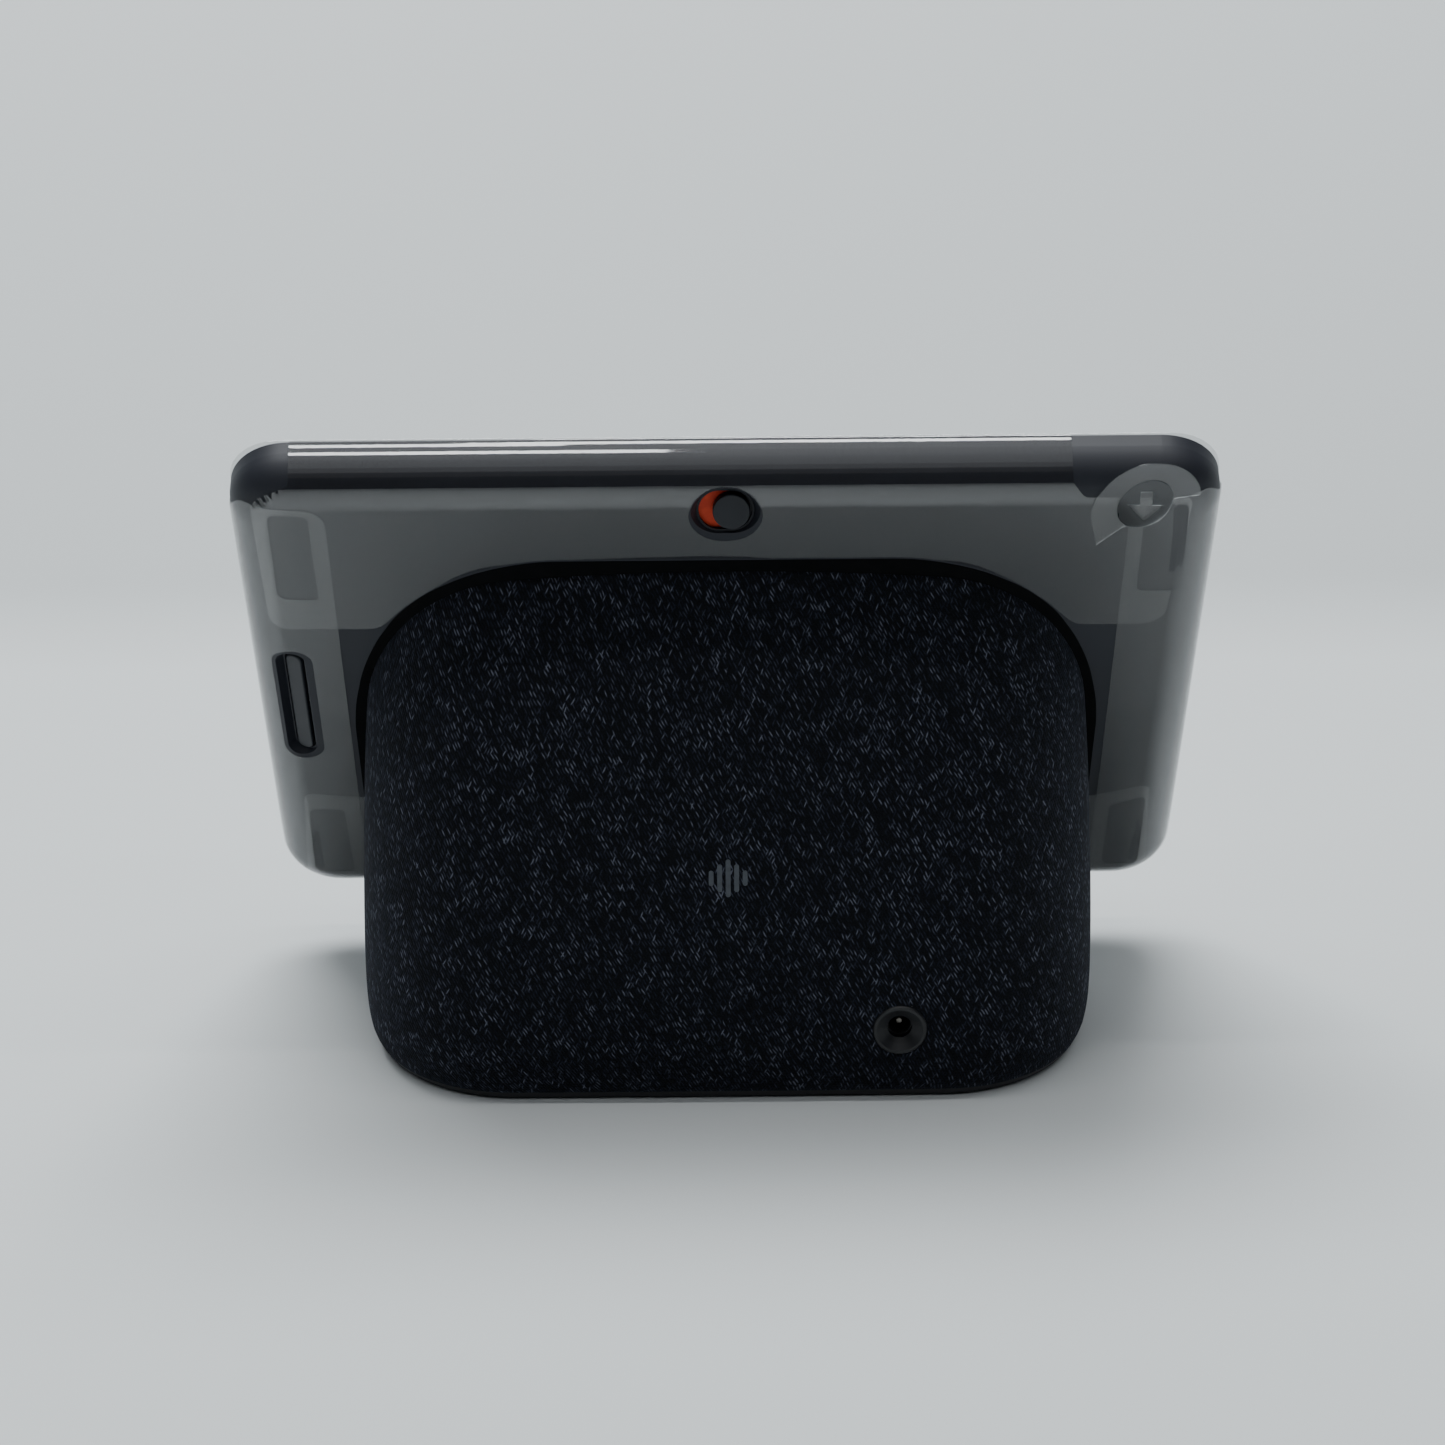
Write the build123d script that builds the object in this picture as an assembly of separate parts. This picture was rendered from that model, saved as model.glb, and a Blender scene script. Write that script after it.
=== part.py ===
from build123d import *
import os
from math import asin, atan2, cos, degrees, radians, sin, sqrt

# A table-top smart display: a thin tilted screen head on a fabric-covered speaker base.
# Millimetres, +Z up, the screen looks towards -Y. The origin is on the table, under the
# middle of the object's length and depth.

# ---- overall size ----
HEAD_WIDTH = 250.1
OVERALL_HEIGHT = 182.55
OVERALL_DEPTH = 101.23
HEAD_HEIGHT = 177.0  # along the sloping face
HEAD_DEPTH = 14.5
HEAD_TILT = 28.0  # the face leans back from upright
HEAD_CORNER = 16.0
HEAD_REAR_ROUNDING = 10.5
HEAD_WALL = 2.2
FACE_BOTTOM_Z = OVERALL_HEIGHT - HEAD_HEIGHT * cos(radians(HEAD_TILT))

# ---- screen stack, as depths behind the face ----
GLASS_THICKNESS = 1.2
GLASS_INSET = 1.2
PANEL_WIDTH = 224.0
PANEL_HEIGHT = 144.0
PANEL_BACK = 2.4
BACKLIGHT_BACK = 4.9
FRAME_FRONT = 2.0
TRAY_FRONT = 5.0
TRAY_BACK = 6.0
SENSOR_ROW_V = 168.0  # height of the camera row up the face

# ---- base ----
BASE_HALF_WIDTH = 98.6
BASE_CORNER = 39.0
BASE_FRONT_Y = -34.0
BASE_REAR_Y = OVERALL_DEPTH / 2
BASE_WIDEST_Z = 22.0
BASE_REAR_ARC = 361.0  # the rear face leans forward along this radius
FABRIC_THICKNESS = 1.6
SHELL_INSET = 1.7
SHELL_WALL = 2.5
FABRIC_BOTTOM_Z = 2.8
CRADLE_THICKNESS = 2.6
FOOT_THICKNESS = 1.2
PLATE_TOP_Z = 3.6

# ---- mute switch, a slider in a dished pocket that faces straight back ----
SWITCH_V = 163.4
SWITCH_W = 13.7
DISH_WIDTH = 17.0
DISH_HEIGHT = 15.6
DISH_DEPTH = 3.0
SLOT_WIDTH = 13.6
SLOT_HEIGHT = 10.4
SLOT_FLOOR = 4.2
KNOB_RADIUS = 4.72
KNOB_FACE = 1.5
KNOB_TRAVEL = 3.0

# ---- volume rocker, a key in a recess on the rounded side ----
ROCKER_U = 114.0
ROCKER_V = 87.8
ROCKER_LEAN = 20.0
RECESS_WIDTH = 8.4
RECESS_LENGTH = 44.0
KEY_WIDTH = 4.6
KEY_LENGTH = 40.0
KEY_GAP = 0.5
KEY_FACE = 0.9
KEY_BACK = 4.4
PIVOT_DEPTH = 3.0
PIVOT_RADIUS = 0.6
PIVOT_CLEARANCE = 0.05

# ---- speakers ----
WOOFER_Z = 64.0
WOOFER_SET_BACK = 8.5
WOOFER_RADIUS = 37.5
CONE_RADIUS = 27.0
CONE_RIM_DEPTH = 3.9
CONE_THROAT_DEPTH = 12.3
COIL_RADIUS = 8.0
SLOT_PITCH = 7.0
SLOT_FIELD_RADIUS = 33.0
SOUND_SLOT_WIDTH = 4.2
ENCLOSURE_SIZE = 84.0
ENCLOSURE_WALL = 2.5
ENCLOSURE_Z = 66.0
TWEETER_X = 62.0
TWEETER_Z = 15.8
TWEETER_Y = -29.4
TWEETER_RADIUS = 10.2

# ---- power inlet ----
JACK_X = -45.0
JACK_Z = 22.5
JACK_BORE = 2.95
JACK_BORE_LENGTH = 9.5
JACK_RECESS = 4.0
INLET_THROAT = 3.2
INLET_THROAT_LENGTH = 1.6
BEZEL_RADIUS = 7.25

# ---- rear mark: five upright bars, each an offset and a length ----
BADGE_Z = 66.7
BADGE_BAR_WIDTH = 1.3
BADGE_BARS = ((-4.4, 4.2), (-2.2, 7.6), (0.0, 10.4), (2.2, 7.6), (4.4, 4.2))

# ---- transport film that wraps the head ----
FILM_GAP = 0.02
FILM_THICKNESS = 0.12

HEAD = Plane(
    origin=(0, -OVERALL_DEPTH / 2, FACE_BOTTOM_Z),
    x_dir=(1, 0, 0),
    z_dir=(0, -cos(radians(HEAD_TILT)), sin(radians(HEAD_TILT))),
)


# ---------------------------------------------------------------- helpers
# The head is drawn lying on its face: u across, v up the face, and w the depth behind it.
def plate(width, height, radius, front, back, mid_v=HEAD_HEIGHT / 2, mid_u=0.0):
    outline = RectangleRounded(width, height, radius)
    return Pos(mid_u, mid_v, -back) * extrude(outline, back - front)


def block(u, v, size_u, size_v, front, back):
    return Pos(u, v, -(front + back) / 2) * Box(size_u, size_v, back - front)


def disc(u, v, radius, front, back):
    return Pos(u, v, -(front + back) / 2) * Cylinder(radius, back - front)


def pill(length, width):
    return SlotOverall(length, width)


def turned(*points):
    """A solid of revolution about Z from (radius, height) points."""
    outline = make_face(Polyline(*[(r, 0, z) for r, z in points], close=True))
    return revolve(outline, Axis.Z, 360)


def dome(base_radius, rise, thickness):
    """A thin spherical cap that stands on Z=0."""
    radius = (base_radius**2 + rise**2) / (2 * rise)
    shell = Sphere(radius) - Sphere(radius - thickness)
    return (Pos(0, 0, rise - radius) * shell) & (Pos(0, 0, rise) * Box(60, 60, 2 * rise))


def head_point(u, v, w):
    return HEAD.from_local_coords(Vector(u, v, -w))


# ---------------------------------------------------------------- head
def head_envelope(grow=0.0, front=0.0):
    """The head's outer form, grown or shrunk all round."""
    body = plate(
        HEAD_WIDTH + 2 * grow,
        HEAD_HEIGHT + 2 * grow,
        HEAD_CORNER + grow,
        front,
        HEAD_DEPTH + grow,
    )
    rear = body.faces().sort_by(Axis.Z)[0]
    return fillet(rear.edges(), HEAD_REAR_ROUNDING + grow)


def switch_frame():
    """Pocket frame of the mute switch, on the bench: Z comes straight out of the dish."""
    tilt = radians(HEAD_TILT)
    return Plane(
        origin=(0, SWITCH_V, -SWITCH_W),
        x_dir=(-1, 0, 0),
        z_dir=(0, sin(tilt), -cos(tilt)),
    )


def rocker_frame():
    """Pocket frame of the volume rocker: X across the key, Y along it, Z out."""
    lean = radians(ROCKER_LEAN)
    return Plane(
        origin=(ROCKER_U, ROCKER_V, -HEAD_DEPTH),
        x_dir=(-cos(lean), 0, -sin(lean)),
        z_dir=(sin(lean), 0, -cos(lean)),
    )


def switch_pocket():
    rim = Pos(0, 0, 2.0) * pill(DISH_WIDTH + 1.0, DISH_HEIGHT + 0.9)
    floor = Pos(0, 0, -DISH_DEPTH) * pill(SLOT_WIDTH + 1.0, SLOT_HEIGHT + 0.8)
    dish = loft([floor, rim]) + extrude(rim, 6.0)
    slot = extrude(Pos(0, 0, -8) * pill(SLOT_WIDTH, SLOT_HEIGHT), 8)
    slider_room = extrude(Pos(0, 0, -8) * Rectangle(23.0, 13.4), 8 - SLOT_FLOOR)
    return switch_frame() * (dish + slot + slider_room)


def switch_boss():
    boss = extrude(Pos(0, 0, -SLOT_FLOOR) * pill(21.0, 18.5), SLOT_FLOOR + 2)
    return switch_frame() * boss


def rocker_pocket():
    rim = Pos(0, 0, 2.0) * (Rot(0, 0, 90) * pill(RECESS_LENGTH + 1.6, RECESS_WIDTH + 1.4))
    floor = Pos(0, 0, -1.7) * (Rot(0, 0, 90) * pill(KEY_LENGTH + 1.8, KEY_WIDTH + 1.7))
    recess = loft([floor, rim])
    slot = extrude(
        Pos(0, 0, -7)
        * (Rot(0, 0, 90) * pill(KEY_LENGTH + 2 * KEY_GAP, KEY_WIDTH + 2 * KEY_GAP)),
        6,
    )
    pin_hole = Pos(0, 0, -PIVOT_DEPTH) * (Rot(0, 90, 0) * Cylinder(PIVOT_RADIUS, 9.0))
    return rocker_frame() * (recess + slot + pin_hole)


def rocker_boss():
    boss = extrude(Pos(0, 0, -5.0) * (Rot(0, 0, 90) * pill(48.0, 11.5)), 6.5)
    return rocker_frame() * boss


def head_screw_places():
    places = [(u, 8.0) for u in (-112, -56, 0, 56, 112)]
    places += [(u, 167.0) for u in (-112, -50, 50, 112)]
    return places + [(side * 116.8, v) for side in (-1, 1) for v in (56.0, 125.0)]


def neck_screw_places():
    return [(u, v) for u in (-48, 0, 48) for v in (52, 88)]


def head_rear_housing():
    cavity = plate(
        HEAD_WIDTH - 2 * HEAD_WALL,
        HEAD_HEIGHT - 2 * HEAD_WALL,
        HEAD_CORNER - HEAD_WALL,
        -1.0,
        HEAD_DEPTH - HEAD_WALL,
    )
    back = cavity.faces().sort_by(Axis.Z)[0]
    cavity = fillet(back.edges(), HEAD_REAR_ROUNDING - HEAD_WALL)
    outer = head_envelope(front=0.4)
    bosses = switch_boss() + rocker_boss()
    for u, v in head_screw_places():
        bosses += disc(u, v, 3.0, TRAY_BACK + 0.1, HEAD_DEPTH - 1.0)
    shell = outer - cavity + (bosses & outer)
    glass_seat = plate(
        HEAD_WIDTH - 2 * GLASS_INSET + 0.2,
        HEAD_HEIGHT - 2 * GLASS_INSET + 0.2,
        HEAD_CORNER - GLASS_INSET + 0.1,
        -1.0,
        GLASS_THICKNESS + 0.1,
    )
    shell -= glass_seat
    shell -= switch_pocket() + rocker_pocket()
    for u, v in head_screw_places():
        shell -= disc(u, v, 1.1, TRAY_BACK, HEAD_DEPTH - 3.0)
    for u, v in neck_screw_places():
        shell -= disc(u, v, 1.7, 8, HEAD_DEPTH + 1)
    shell -= block(0, 27, 34, 6, 8, HEAD_DEPTH + 1)
    return shell


def front_glass():
    glass = plate(
        HEAD_WIDTH - 2 * GLASS_INSET,
        HEAD_HEIGHT - 2 * GLASS_INSET,
        HEAD_CORNER - GLASS_INSET,
        0.0,
        GLASS_THICKNESS,
    )
    return fillet(glass.faces().sort_by(Axis.Z)[-1].edges(), 0.5)


def edge_gasket():
    ring = plate(242, 169, 12, GLASS_THICKNESS, FRAME_FRONT)
    ring -= plate(PANEL_WIDTH + 3, PANEL_HEIGHT + 3, 3, 0, 4)
    return ring - block(0, SENSOR_ROW_V, 60, 9, 0, 4)


def display_panel():
    return plate(PANEL_WIDTH, PANEL_HEIGHT, 1.5, GLASS_THICKNESS, PANEL_BACK)


def backlight_unit():
    return plate(PANEL_WIDTH, PANEL_HEIGHT, 1.5, PANEL_BACK, BACKLIGHT_BACK)


def display_frame():
    tray = plate(242, 169, 12, FRAME_FRONT, TRAY_BACK)
    tray -= plate(PANEL_WIDTH + 1, PANEL_HEIGHT + 1, 2, 0, TRAY_FRONT)
    tray -= block(0, SENSOR_ROW_V, 60, 9, 0, 8)
    for side in (-1, 1):
        tray -= block(side * 78, SENSOR_ROW_V, 18, 8, 0, 8)
    tray -= block(0, 48, 30, 5, 0, 8)
    for u, v in head_screw_places():
        tray -= disc(u, v, 1.2, 0, 8) + disc(u, v, 2.4, 0, 3.6)
    for v in (55, 95, 135):
        tray += block(0, v, 180, 3, TRAY_BACK, TRAY_BACK + 0.8)
    return tray


def camera_module():
    body = block(0, SENSOR_ROW_V, 8.0, 8.0, 2.2, 4.9)
    return body + disc(0, SENSOR_ROW_V, 3.4, 1.6, 2.3)


def camera_lens():
    return disc(0, SENSOR_ROW_V, 2.4, 1.25, 1.6)


def light_sensor():
    return block(17, SENSOR_ROW_V, 4.0, 3.0, 1.3, 2.6)


def status_led():
    return block(-12, SENSOR_ROW_V, 2.2, 1.6, 1.3, 2.6)


def mic_board(side):
    board = block(side * 78, SENSOR_ROW_V, 15, 6.5, 3.0, 3.8)
    can = block(side * 78, SENSOR_ROW_V, 3.8, 3.0, 3.8, 4.9)
    port = disc(side * 78, SENSOR_ROW_V, 0.6, 2.5, 4.0)
    return board + can - port


def wifi_antennas():
    pair = [block(side * 116.6, 30, 8.0, 34, 6.4, 7.0) for side in (-1, 1)]
    return Compound(children=pair)


def neck_bracket():
    bracket = plate(120, 56, 5, 10.6, HEAD_DEPTH - HEAD_WALL, mid_v=70)
    bracket -= block(0, 70, 60, 18, 8, 14)
    for u, v in neck_screw_places():
        bracket -= disc(u, v, 1.7, 8, 14)
    return bracket


def screw(u, v, top, head_radius, head_height, shank_radius, tip):
    """A pan-head screw that points to the rear, with a socket in its head."""
    head = disc(u, v, head_radius, top, top + head_height)
    head -= disc(u, v, 0.8, top - 0.1, top + head_height / 2)
    return head + disc(u, v, shank_radius, top + head_height, tip)


def head_screws():
    return Compound(
        children=[screw(u, v, 2.1, 2.2, 1.4, 1.05, 10.5) for u, v in head_screw_places()]
    )


def neck_screws():
    tip = HEAD_DEPTH + CRADLE_THICKNESS
    return Compound(
        children=[screw(u, v, 9.2, 3.0, 1.4, 1.6, tip) for u, v in neck_screw_places()]
    )


# ---- mute switch ----
def switch_slide(x):
    """Pocket frame moved along the slider's travel, at rest at the -X end."""
    return switch_frame() * Pos(x, 0, 0)


def mute_switch_knob():
    rest = KNOB_TRAVEL / 2
    foot = SLOT_FLOOR + 0.15
    knob = extrude(Pos(0, 0, -foot) * Circle(KNOB_RADIUS), foot - KNOB_FACE)
    face = knob.faces().sort_by(Axis.Z)[-1]
    knob = fillet(face.edges(), 0.35)
    return switch_slide(rest) * knob


def mute_slider_plate():
    back = extrude(Pos(0, 0, -SLOT_FLOOR - 0.95) * RectangleRounded(18.5, 12.5, 1.5), 0.8)
    stem = Pos(0, 0, -SLOT_FLOOR - 1.2) * Box(2.4, 1.6, 0.6)
    return switch_slide(KNOB_TRAVEL / 2) * (back + stem)


def mute_flag():
    """The orange patch that shows beside the knob while the microphones are off."""
    patch = extrude(Pos(-3.0, 0, -SLOT_FLOOR - 0.15) * pill(12.0, 9.9), 0.12)
    patch -= extrude(Pos(0, 0, -SLOT_FLOOR - 0.5) * Circle(KNOB_RADIUS + 0.01), 1.0)
    return switch_slide(KNOB_TRAVEL / 2) * patch


def mute_switch_body():
    body = Pos(0, 0, -SLOT_FLOOR - 2.2) * Box(11.0, 3.6, 1.8)
    slot = Pos(0, 0, -SLOT_FLOOR - 1.4) * Box(2.4 + KNOB_TRAVEL + 0.6, 2.0, 0.9)
    return switch_frame() * (body - slot)


# ---- volume rocker ----
def volume_rocker():
    outline = Rot(0, 0, 90) * pill(KEY_LENGTH, KEY_WIDTH)
    key = extrude(Pos(0, 0, -KEY_BACK) * outline, KEY_BACK - KEY_FACE)
    face = key.faces().sort_by(Axis.Z)[-1]
    key = fillet(face.edges(), 0.6)
    hole = Rot(0, 90, 0) * Cylinder(PIVOT_RADIUS + PIVOT_CLEARANCE, 20)
    return rocker_frame() * (key - Pos(0, 0, -PIVOT_DEPTH) * hole)


def rocker_pin():
    pin = Pos(0, 0, -PIVOT_DEPTH) * (Rot(0, 90, 0) * Cylinder(PIVOT_RADIUS, 8.6))
    return rocker_frame() * pin


def volume_tact_switches():
    switches = []
    for y in (-14, 14):
        body = Pos(0, y, -6.4) * Box(4.0, 4.0, 1.4)
        plunger = Pos(0, y, -5.3) * Cylinder(1.0, 0.9)
        switches.append(rocker_frame() * (body + plunger))
    return Compound(children=switches)


def volume_board():
    return rocker_frame() * (Pos(0, 0, -7.5) * Box(6.0, 38.0, 0.8))


# ---------------------------------------------------------------- base
def rear_y(z):
    """The rear face's depth on the centre line at a height."""
    if z < BASE_WIDEST_Z:
        return BASE_REAR_Y - (BASE_WIDEST_Z - z) ** 2 / 113.0
    return BASE_REAR_Y - BASE_REAR_ARC + sqrt(BASE_REAR_ARC**2 - (z - BASE_WIDEST_Z) ** 2)


def rear_lean(z):
    """How far the rear face leans forward from upright at a height, in degrees."""
    return degrees(asin((z - BASE_WIDEST_Z) / BASE_REAR_ARC))


def base_section(z, half_width, crown, front_corner, inset):
    """One level of the base: straight sides, round corners, a slightly crowned rear."""
    a = half_width - inset
    rear = rear_y(z) - inset
    front = BASE_FRONT_Y + inset + 2.5 * max(0.0, 1 - z / 8.0) ** 2
    corner = BASE_CORNER - inset
    crown_radius = (half_width**2 + crown**2) / (2 * crown) - inset
    rise = sqrt((crown_radius - corner) ** 2 - (a - corner) ** 2)
    centre = (a - corner, rear - crown_radius + rise)
    swing = atan2(rise, a - corner)  # angle at which the corner meets the crowned rear

    def on_corner(angle, side):
        return (side * (centre[0] + corner * cos(angle)), centre[1] + corner * sin(angle))

    small = front_corner - inset
    diagonal = small * (1 - sqrt(0.5))
    right = Line((a, front + small), on_corner(0, 1))
    right += ThreePointArc(on_corner(0, 1), on_corner(swing / 2, 1), on_corner(swing, 1))
    rear_edge = ThreePointArc(on_corner(swing, 1), (0, rear), on_corner(swing, -1))
    left = ThreePointArc(on_corner(swing, -1), on_corner(swing / 2, -1), on_corner(0, -1))
    left += Line(on_corner(0, -1), (-a, front + small))
    nose = ThreePointArc(
        (-a, front + small), (-a + diagonal, front + diagonal), (-a + small, front)
    )
    nose += Line((-a + small, front), (a - small, front))
    nose += ThreePointArc(
        (a - small, front), (a - diagonal, front + diagonal), (a, front + small)
    )
    return Pos(0, 0, z) * make_face(right + rear_edge + left + nose)


BASE_LEVELS = (  # height, half width, how far the rear is crowned, front corner radius
    (0, 95.4, 0.6, 30),
    (7, 97.8, 0.8, 30),
    (22, BASE_HALF_WIDTH, 1.2, 30),
    (60, 97.6, 2.6, 30),
    (100, 95.4, 4.6, 26),
    (150, 90.5, 6.5, 15),
)


def base_form(inset):
    return loft([base_section(*level, inset) for level in BASE_LEVELS])


def behind_head(depth):
    """All space further back than a depth behind the screen's face."""
    return HEAD * (Pos(0, 0, -depth - 150) * Box(500, 700, 300))


def above(z):
    return Pos(0, 0, z + 150) * Box(500, 500, 300)


def base_body(inset, depth, bottom):
    return base_form(inset) & behind_head(depth) & above(bottom)


def woofer_frame():
    lean = radians(rear_lean(WOOFER_Z))
    return Plane(
        origin=(0, rear_y(WOOFER_Z) - WOOFER_SET_BACK, WOOFER_Z),
        x_dir=(-1, 0, 0),
        z_dir=(0, cos(lean), sin(lean)),
    )


def tweeter_frame(side):
    return Plane(
        origin=(side * TWEETER_X, TWEETER_Y, TWEETER_Z), x_dir=(1, 0, 0), z_dir=(0, -1, 0)
    )


def along_y(radius, y_from, y_to, x=JACK_X, z=JACK_Z):
    length = y_to - y_from
    return Pos(x, (y_from + y_to) / 2, z) * (Rot(90, 0, 0) * Cylinder(radius, length))


def fabric_sleeve():
    sleeve = base_body(0, HEAD_DEPTH + 0.2, FABRIC_BOTTOM_Z)
    sleeve -= base_form(FABRIC_THICKNESS)
    sleeve -= along_y(BEZEL_RADIUS + 0.05, 30, 60)
    return sleeve - badge_bars(-3.0, 3.0, 0.05)


def base_shell():
    shell = base_body(SHELL_INSET, HEAD_DEPTH + CRADLE_THICKNESS + 0.1, PLATE_TOP_Z)
    shell -= base_form(SHELL_INSET + SHELL_WALL)
    shell -= along_y(BEZEL_RADIUS + 0.05, 30, 60)
    slots = woofer_slots()
    for side in (-1, 1):
        slots += tweeter_frame(side) * Cylinder(8.4, 12)
    return shell - slots


def woofer_slots():
    """The openings that the woofer fires through, a fan of upright slots."""
    slots = Part()
    for column in range(-4, 5):
        x = column * SLOT_PITCH
        length = 2 * sqrt(SLOT_FIELD_RADIUS**2 - x**2)
        outline = Rot(0, 0, 90) * pill(length, SOUND_SLOT_WIDTH)
        slot = Rot(90, 0, 0) * extrude(outline, 10, both=True)
        slots += Pos(x, 45, WOOFER_Z) * slot
    return slots


def base_cradle():
    """The moulded plate that closes the base's sloping top and takes the head's screws."""
    cradle = base_body(SHELL_INSET, HEAD_DEPTH, PLATE_TOP_Z)
    cradle -= behind_head(HEAD_DEPTH + CRADLE_THICKNESS)
    cuts = block(0, 27, 34, 6, 8, 30)
    for u, v in neck_screw_places():
        cuts += disc(u, v, 1.6, 8, 30)
    return cradle - HEAD * cuts


def base_trim():
    """The dark lip that the fabric tucks behind all round the bottom edge."""
    ring = base_form(0.3) & above(0.9)
    ring -= above(FABRIC_BOTTOM_Z)
    return ring - base_form(3.2)


def base_plate():
    plate_solid = base_form(3.3) & above(FOOT_THICKNESS)
    plate_solid -= above(PLATE_TOP_Z - 0.1)
    for x, y in base_screw_places():
        plate_solid -= Pos(x, y, 2.5) * Cylinder(1.35, 6)
    return plate_solid


def rubber_foot():
    foot = base_form(5.0) - above(FOOT_THICKNESS)
    for x, y in base_screw_places():
        foot -= Pos(x, y, 0.5) * Cylinder(2.9, 4)
    return foot


def base_screw_places():
    return [(x, y) for x in (-72, 72) for y in (-12, 32)] + [(0, -24), (0, 38)]


def base_screws():
    screws = []
    for x, y in base_screw_places():
        head = Pos(x, y, 0.75) * Cylinder(2.6, 0.9)
        shank = Pos(x, y, 2.9) * Cylinder(1.3, 3.4)
        screws.append(head + shank - Pos(x, y, 0.5) * Cylinder(0.8, 0.8))
    return Compound(children=screws)


# ---- woofer, turned about the axis that leans with the rear face ----
def speaker_enclosure():
    """The sealed box behind the woofer, notched below for the flat cable's run."""
    wall = ENCLOSURE_WALL
    outside = RectangleRounded(ENCLOSURE_SIZE, ENCLOSURE_SIZE, 25)
    inside = RectangleRounded(ENCLOSURE_SIZE - 2 * wall, ENCLOSURE_SIZE - 2 * wall, 25 - wall)
    outer = Pos(0, 0, ENCLOSURE_Z) * (Rot(90, 0, 0) * extrude(outside, 60, both=True))
    inner = Pos(0, 0, ENCLOSURE_Z) * (Rot(90, 0, 0) * extrude(inside, 60, both=True))
    skin = SHELL_INSET + SHELL_WALL + 0.3
    roof = HEAD_DEPTH + CRADLE_THICKNESS + 1
    box = outer & base_body(skin, roof, 8)
    box -= inner & base_body(skin + wall, roof + 2, 8)
    mouth = woofer_frame() * (Pos(0, 0, 3) * Cylinder(WOOFER_RADIUS + 0.2, 12))
    cable_room = Pos(0, -40, 20) * Box(100, 60, 52)
    front_wall = Pos(0, -8.7, 35) * Box(ENCLOSURE_SIZE - 2 * wall, wall, 22)
    return box - mouth - cable_room + (front_wall & outer & above(26.5))


def woofer_basket():
    profile = ((33.4, 0), (37.5, 0), (37.5, -2), (34.9, -2), (22, -20), (22, -21.5))
    profile += ((9.6, -21.5), (9.6, -20), (20.5, -20), (33.4, -2))
    basket = turned(*profile)
    for turn in range(6):
        window = Rot(0, 0, 60 * turn) * (Pos(27, 0, -8.5) * Box(14, 13, 9))
        basket -= window
    return woofer_frame() * basket


def woofer_top_plate():
    return woofer_frame() * turned((8.5, -21.5), (18, -21.5), (18, -24.5), (8.5, -24.5))


def woofer_magnet():
    return woofer_frame() * turned((11, -24.5), (19.5, -24.5), (19.5, -33), (11, -33))


def woofer_yoke():
    profile = ((2.5, -21.5), (7.2, -21.5), (7.2, -33), (18, -33), (18, -36), (2.5, -36))
    return woofer_frame() * turned(*profile)


def woofer_voice_coil():
    wall = 0.3
    inner, outer = COIL_RADIUS - wall, COIL_RADIUS + wall
    top = -CONE_THROAT_DEPTH - 0.1
    return woofer_frame() * turned((inner, top), (outer, top), (outer, -27), (inner, -27))


def woofer_cone():
    """The cone's throat sits on the voice coil and its rim hangs from the surround."""
    low, high = CONE_THROAT_DEPTH, CONE_RIM_DEPTH
    inner, collar = COIL_RADIUS - 0.3, COIL_RADIUS + 0.4
    underside = ((inner, -low), (collar, -low), (CONE_RADIUS, -high))
    top = ((CONE_RADIUS, 0.8 - high), (collar, 0.8 - low), (inner, 0.8 - low))
    return woofer_frame() * turned(*underside, *top)


def woofer_dust_cap():
    return woofer_frame() * Pos(0, 0, -10.65) * dome(10.2, 3.2, 0.5)


def woofer_surround():
    mid = (CONE_RADIUS + 33.4) / 2
    roll = (33.4 - CONE_RADIUS) / 2
    ring = Plane.XZ * Pos(mid, -1.9) * (Circle(roll - 0.02) - Circle(roll - 0.6))
    half = ring & (Plane.XZ * Pos(mid, 4.1) * Rectangle(12, 12))
    return woofer_frame() * revolve(half, Axis.Z, 360)


def woofer_spider():
    ring = turned(
        (8.35, -15.6), (12, -14.9), (15.5, -15.6), (19, -14.9), (23.3, -15.6),
        (23.3, -16.0), (19, -15.3), (15.5, -16.0), (12, -15.3), (8.35, -16.0),
    )
    return woofer_frame() * ring


# ---- tweeters ----
def tweeter_body(side):
    ring = turned((8.3, 0), (TWEETER_RADIUS, 0), (TWEETER_RADIUS, -3), (8.3, -3))
    cup = turned((0, -4.2), (8.6, -4.2), (8.6, -3), (9.2, -3), (9.2, -10), (0, -10))
    return tweeter_frame(side) * (ring + cup)


def tweeter_dome(side):
    return tweeter_frame(side) * Pos(0, 0, -2.2) * dome(7.9, 3.4, 0.35)


# ---- electronics ----
def main_board():
    return Pos(0, 6, 7.0) * Box(118, 48, 1.6)


def shield_can():
    outer = Pos(16, 12, 9.2) * Box(42, 32, 2.8)
    return outer - Pos(16, 12, 8.6) * Box(41, 31, 2.8)


def heat_spreader():
    spreader = Pos(16, 12, 11.4) * Box(54, 34, 1.6)
    for row in range(7):
        spreader += Pos(16, -3 + row * 5.0, 13.7) * Box(50, 1.2, 3.0)
    return spreader


def board_connectors():
    places = ((0, -14, 26, 5), (-48, 18, 8, 10), (-30, 24, 10, 5), (50, 22, 6, 9))
    blocks = [Pos(x, y, 9.3) * Box(w, d, 3.0) for x, y, w, d in places]
    return Compound(children=blocks)


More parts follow.
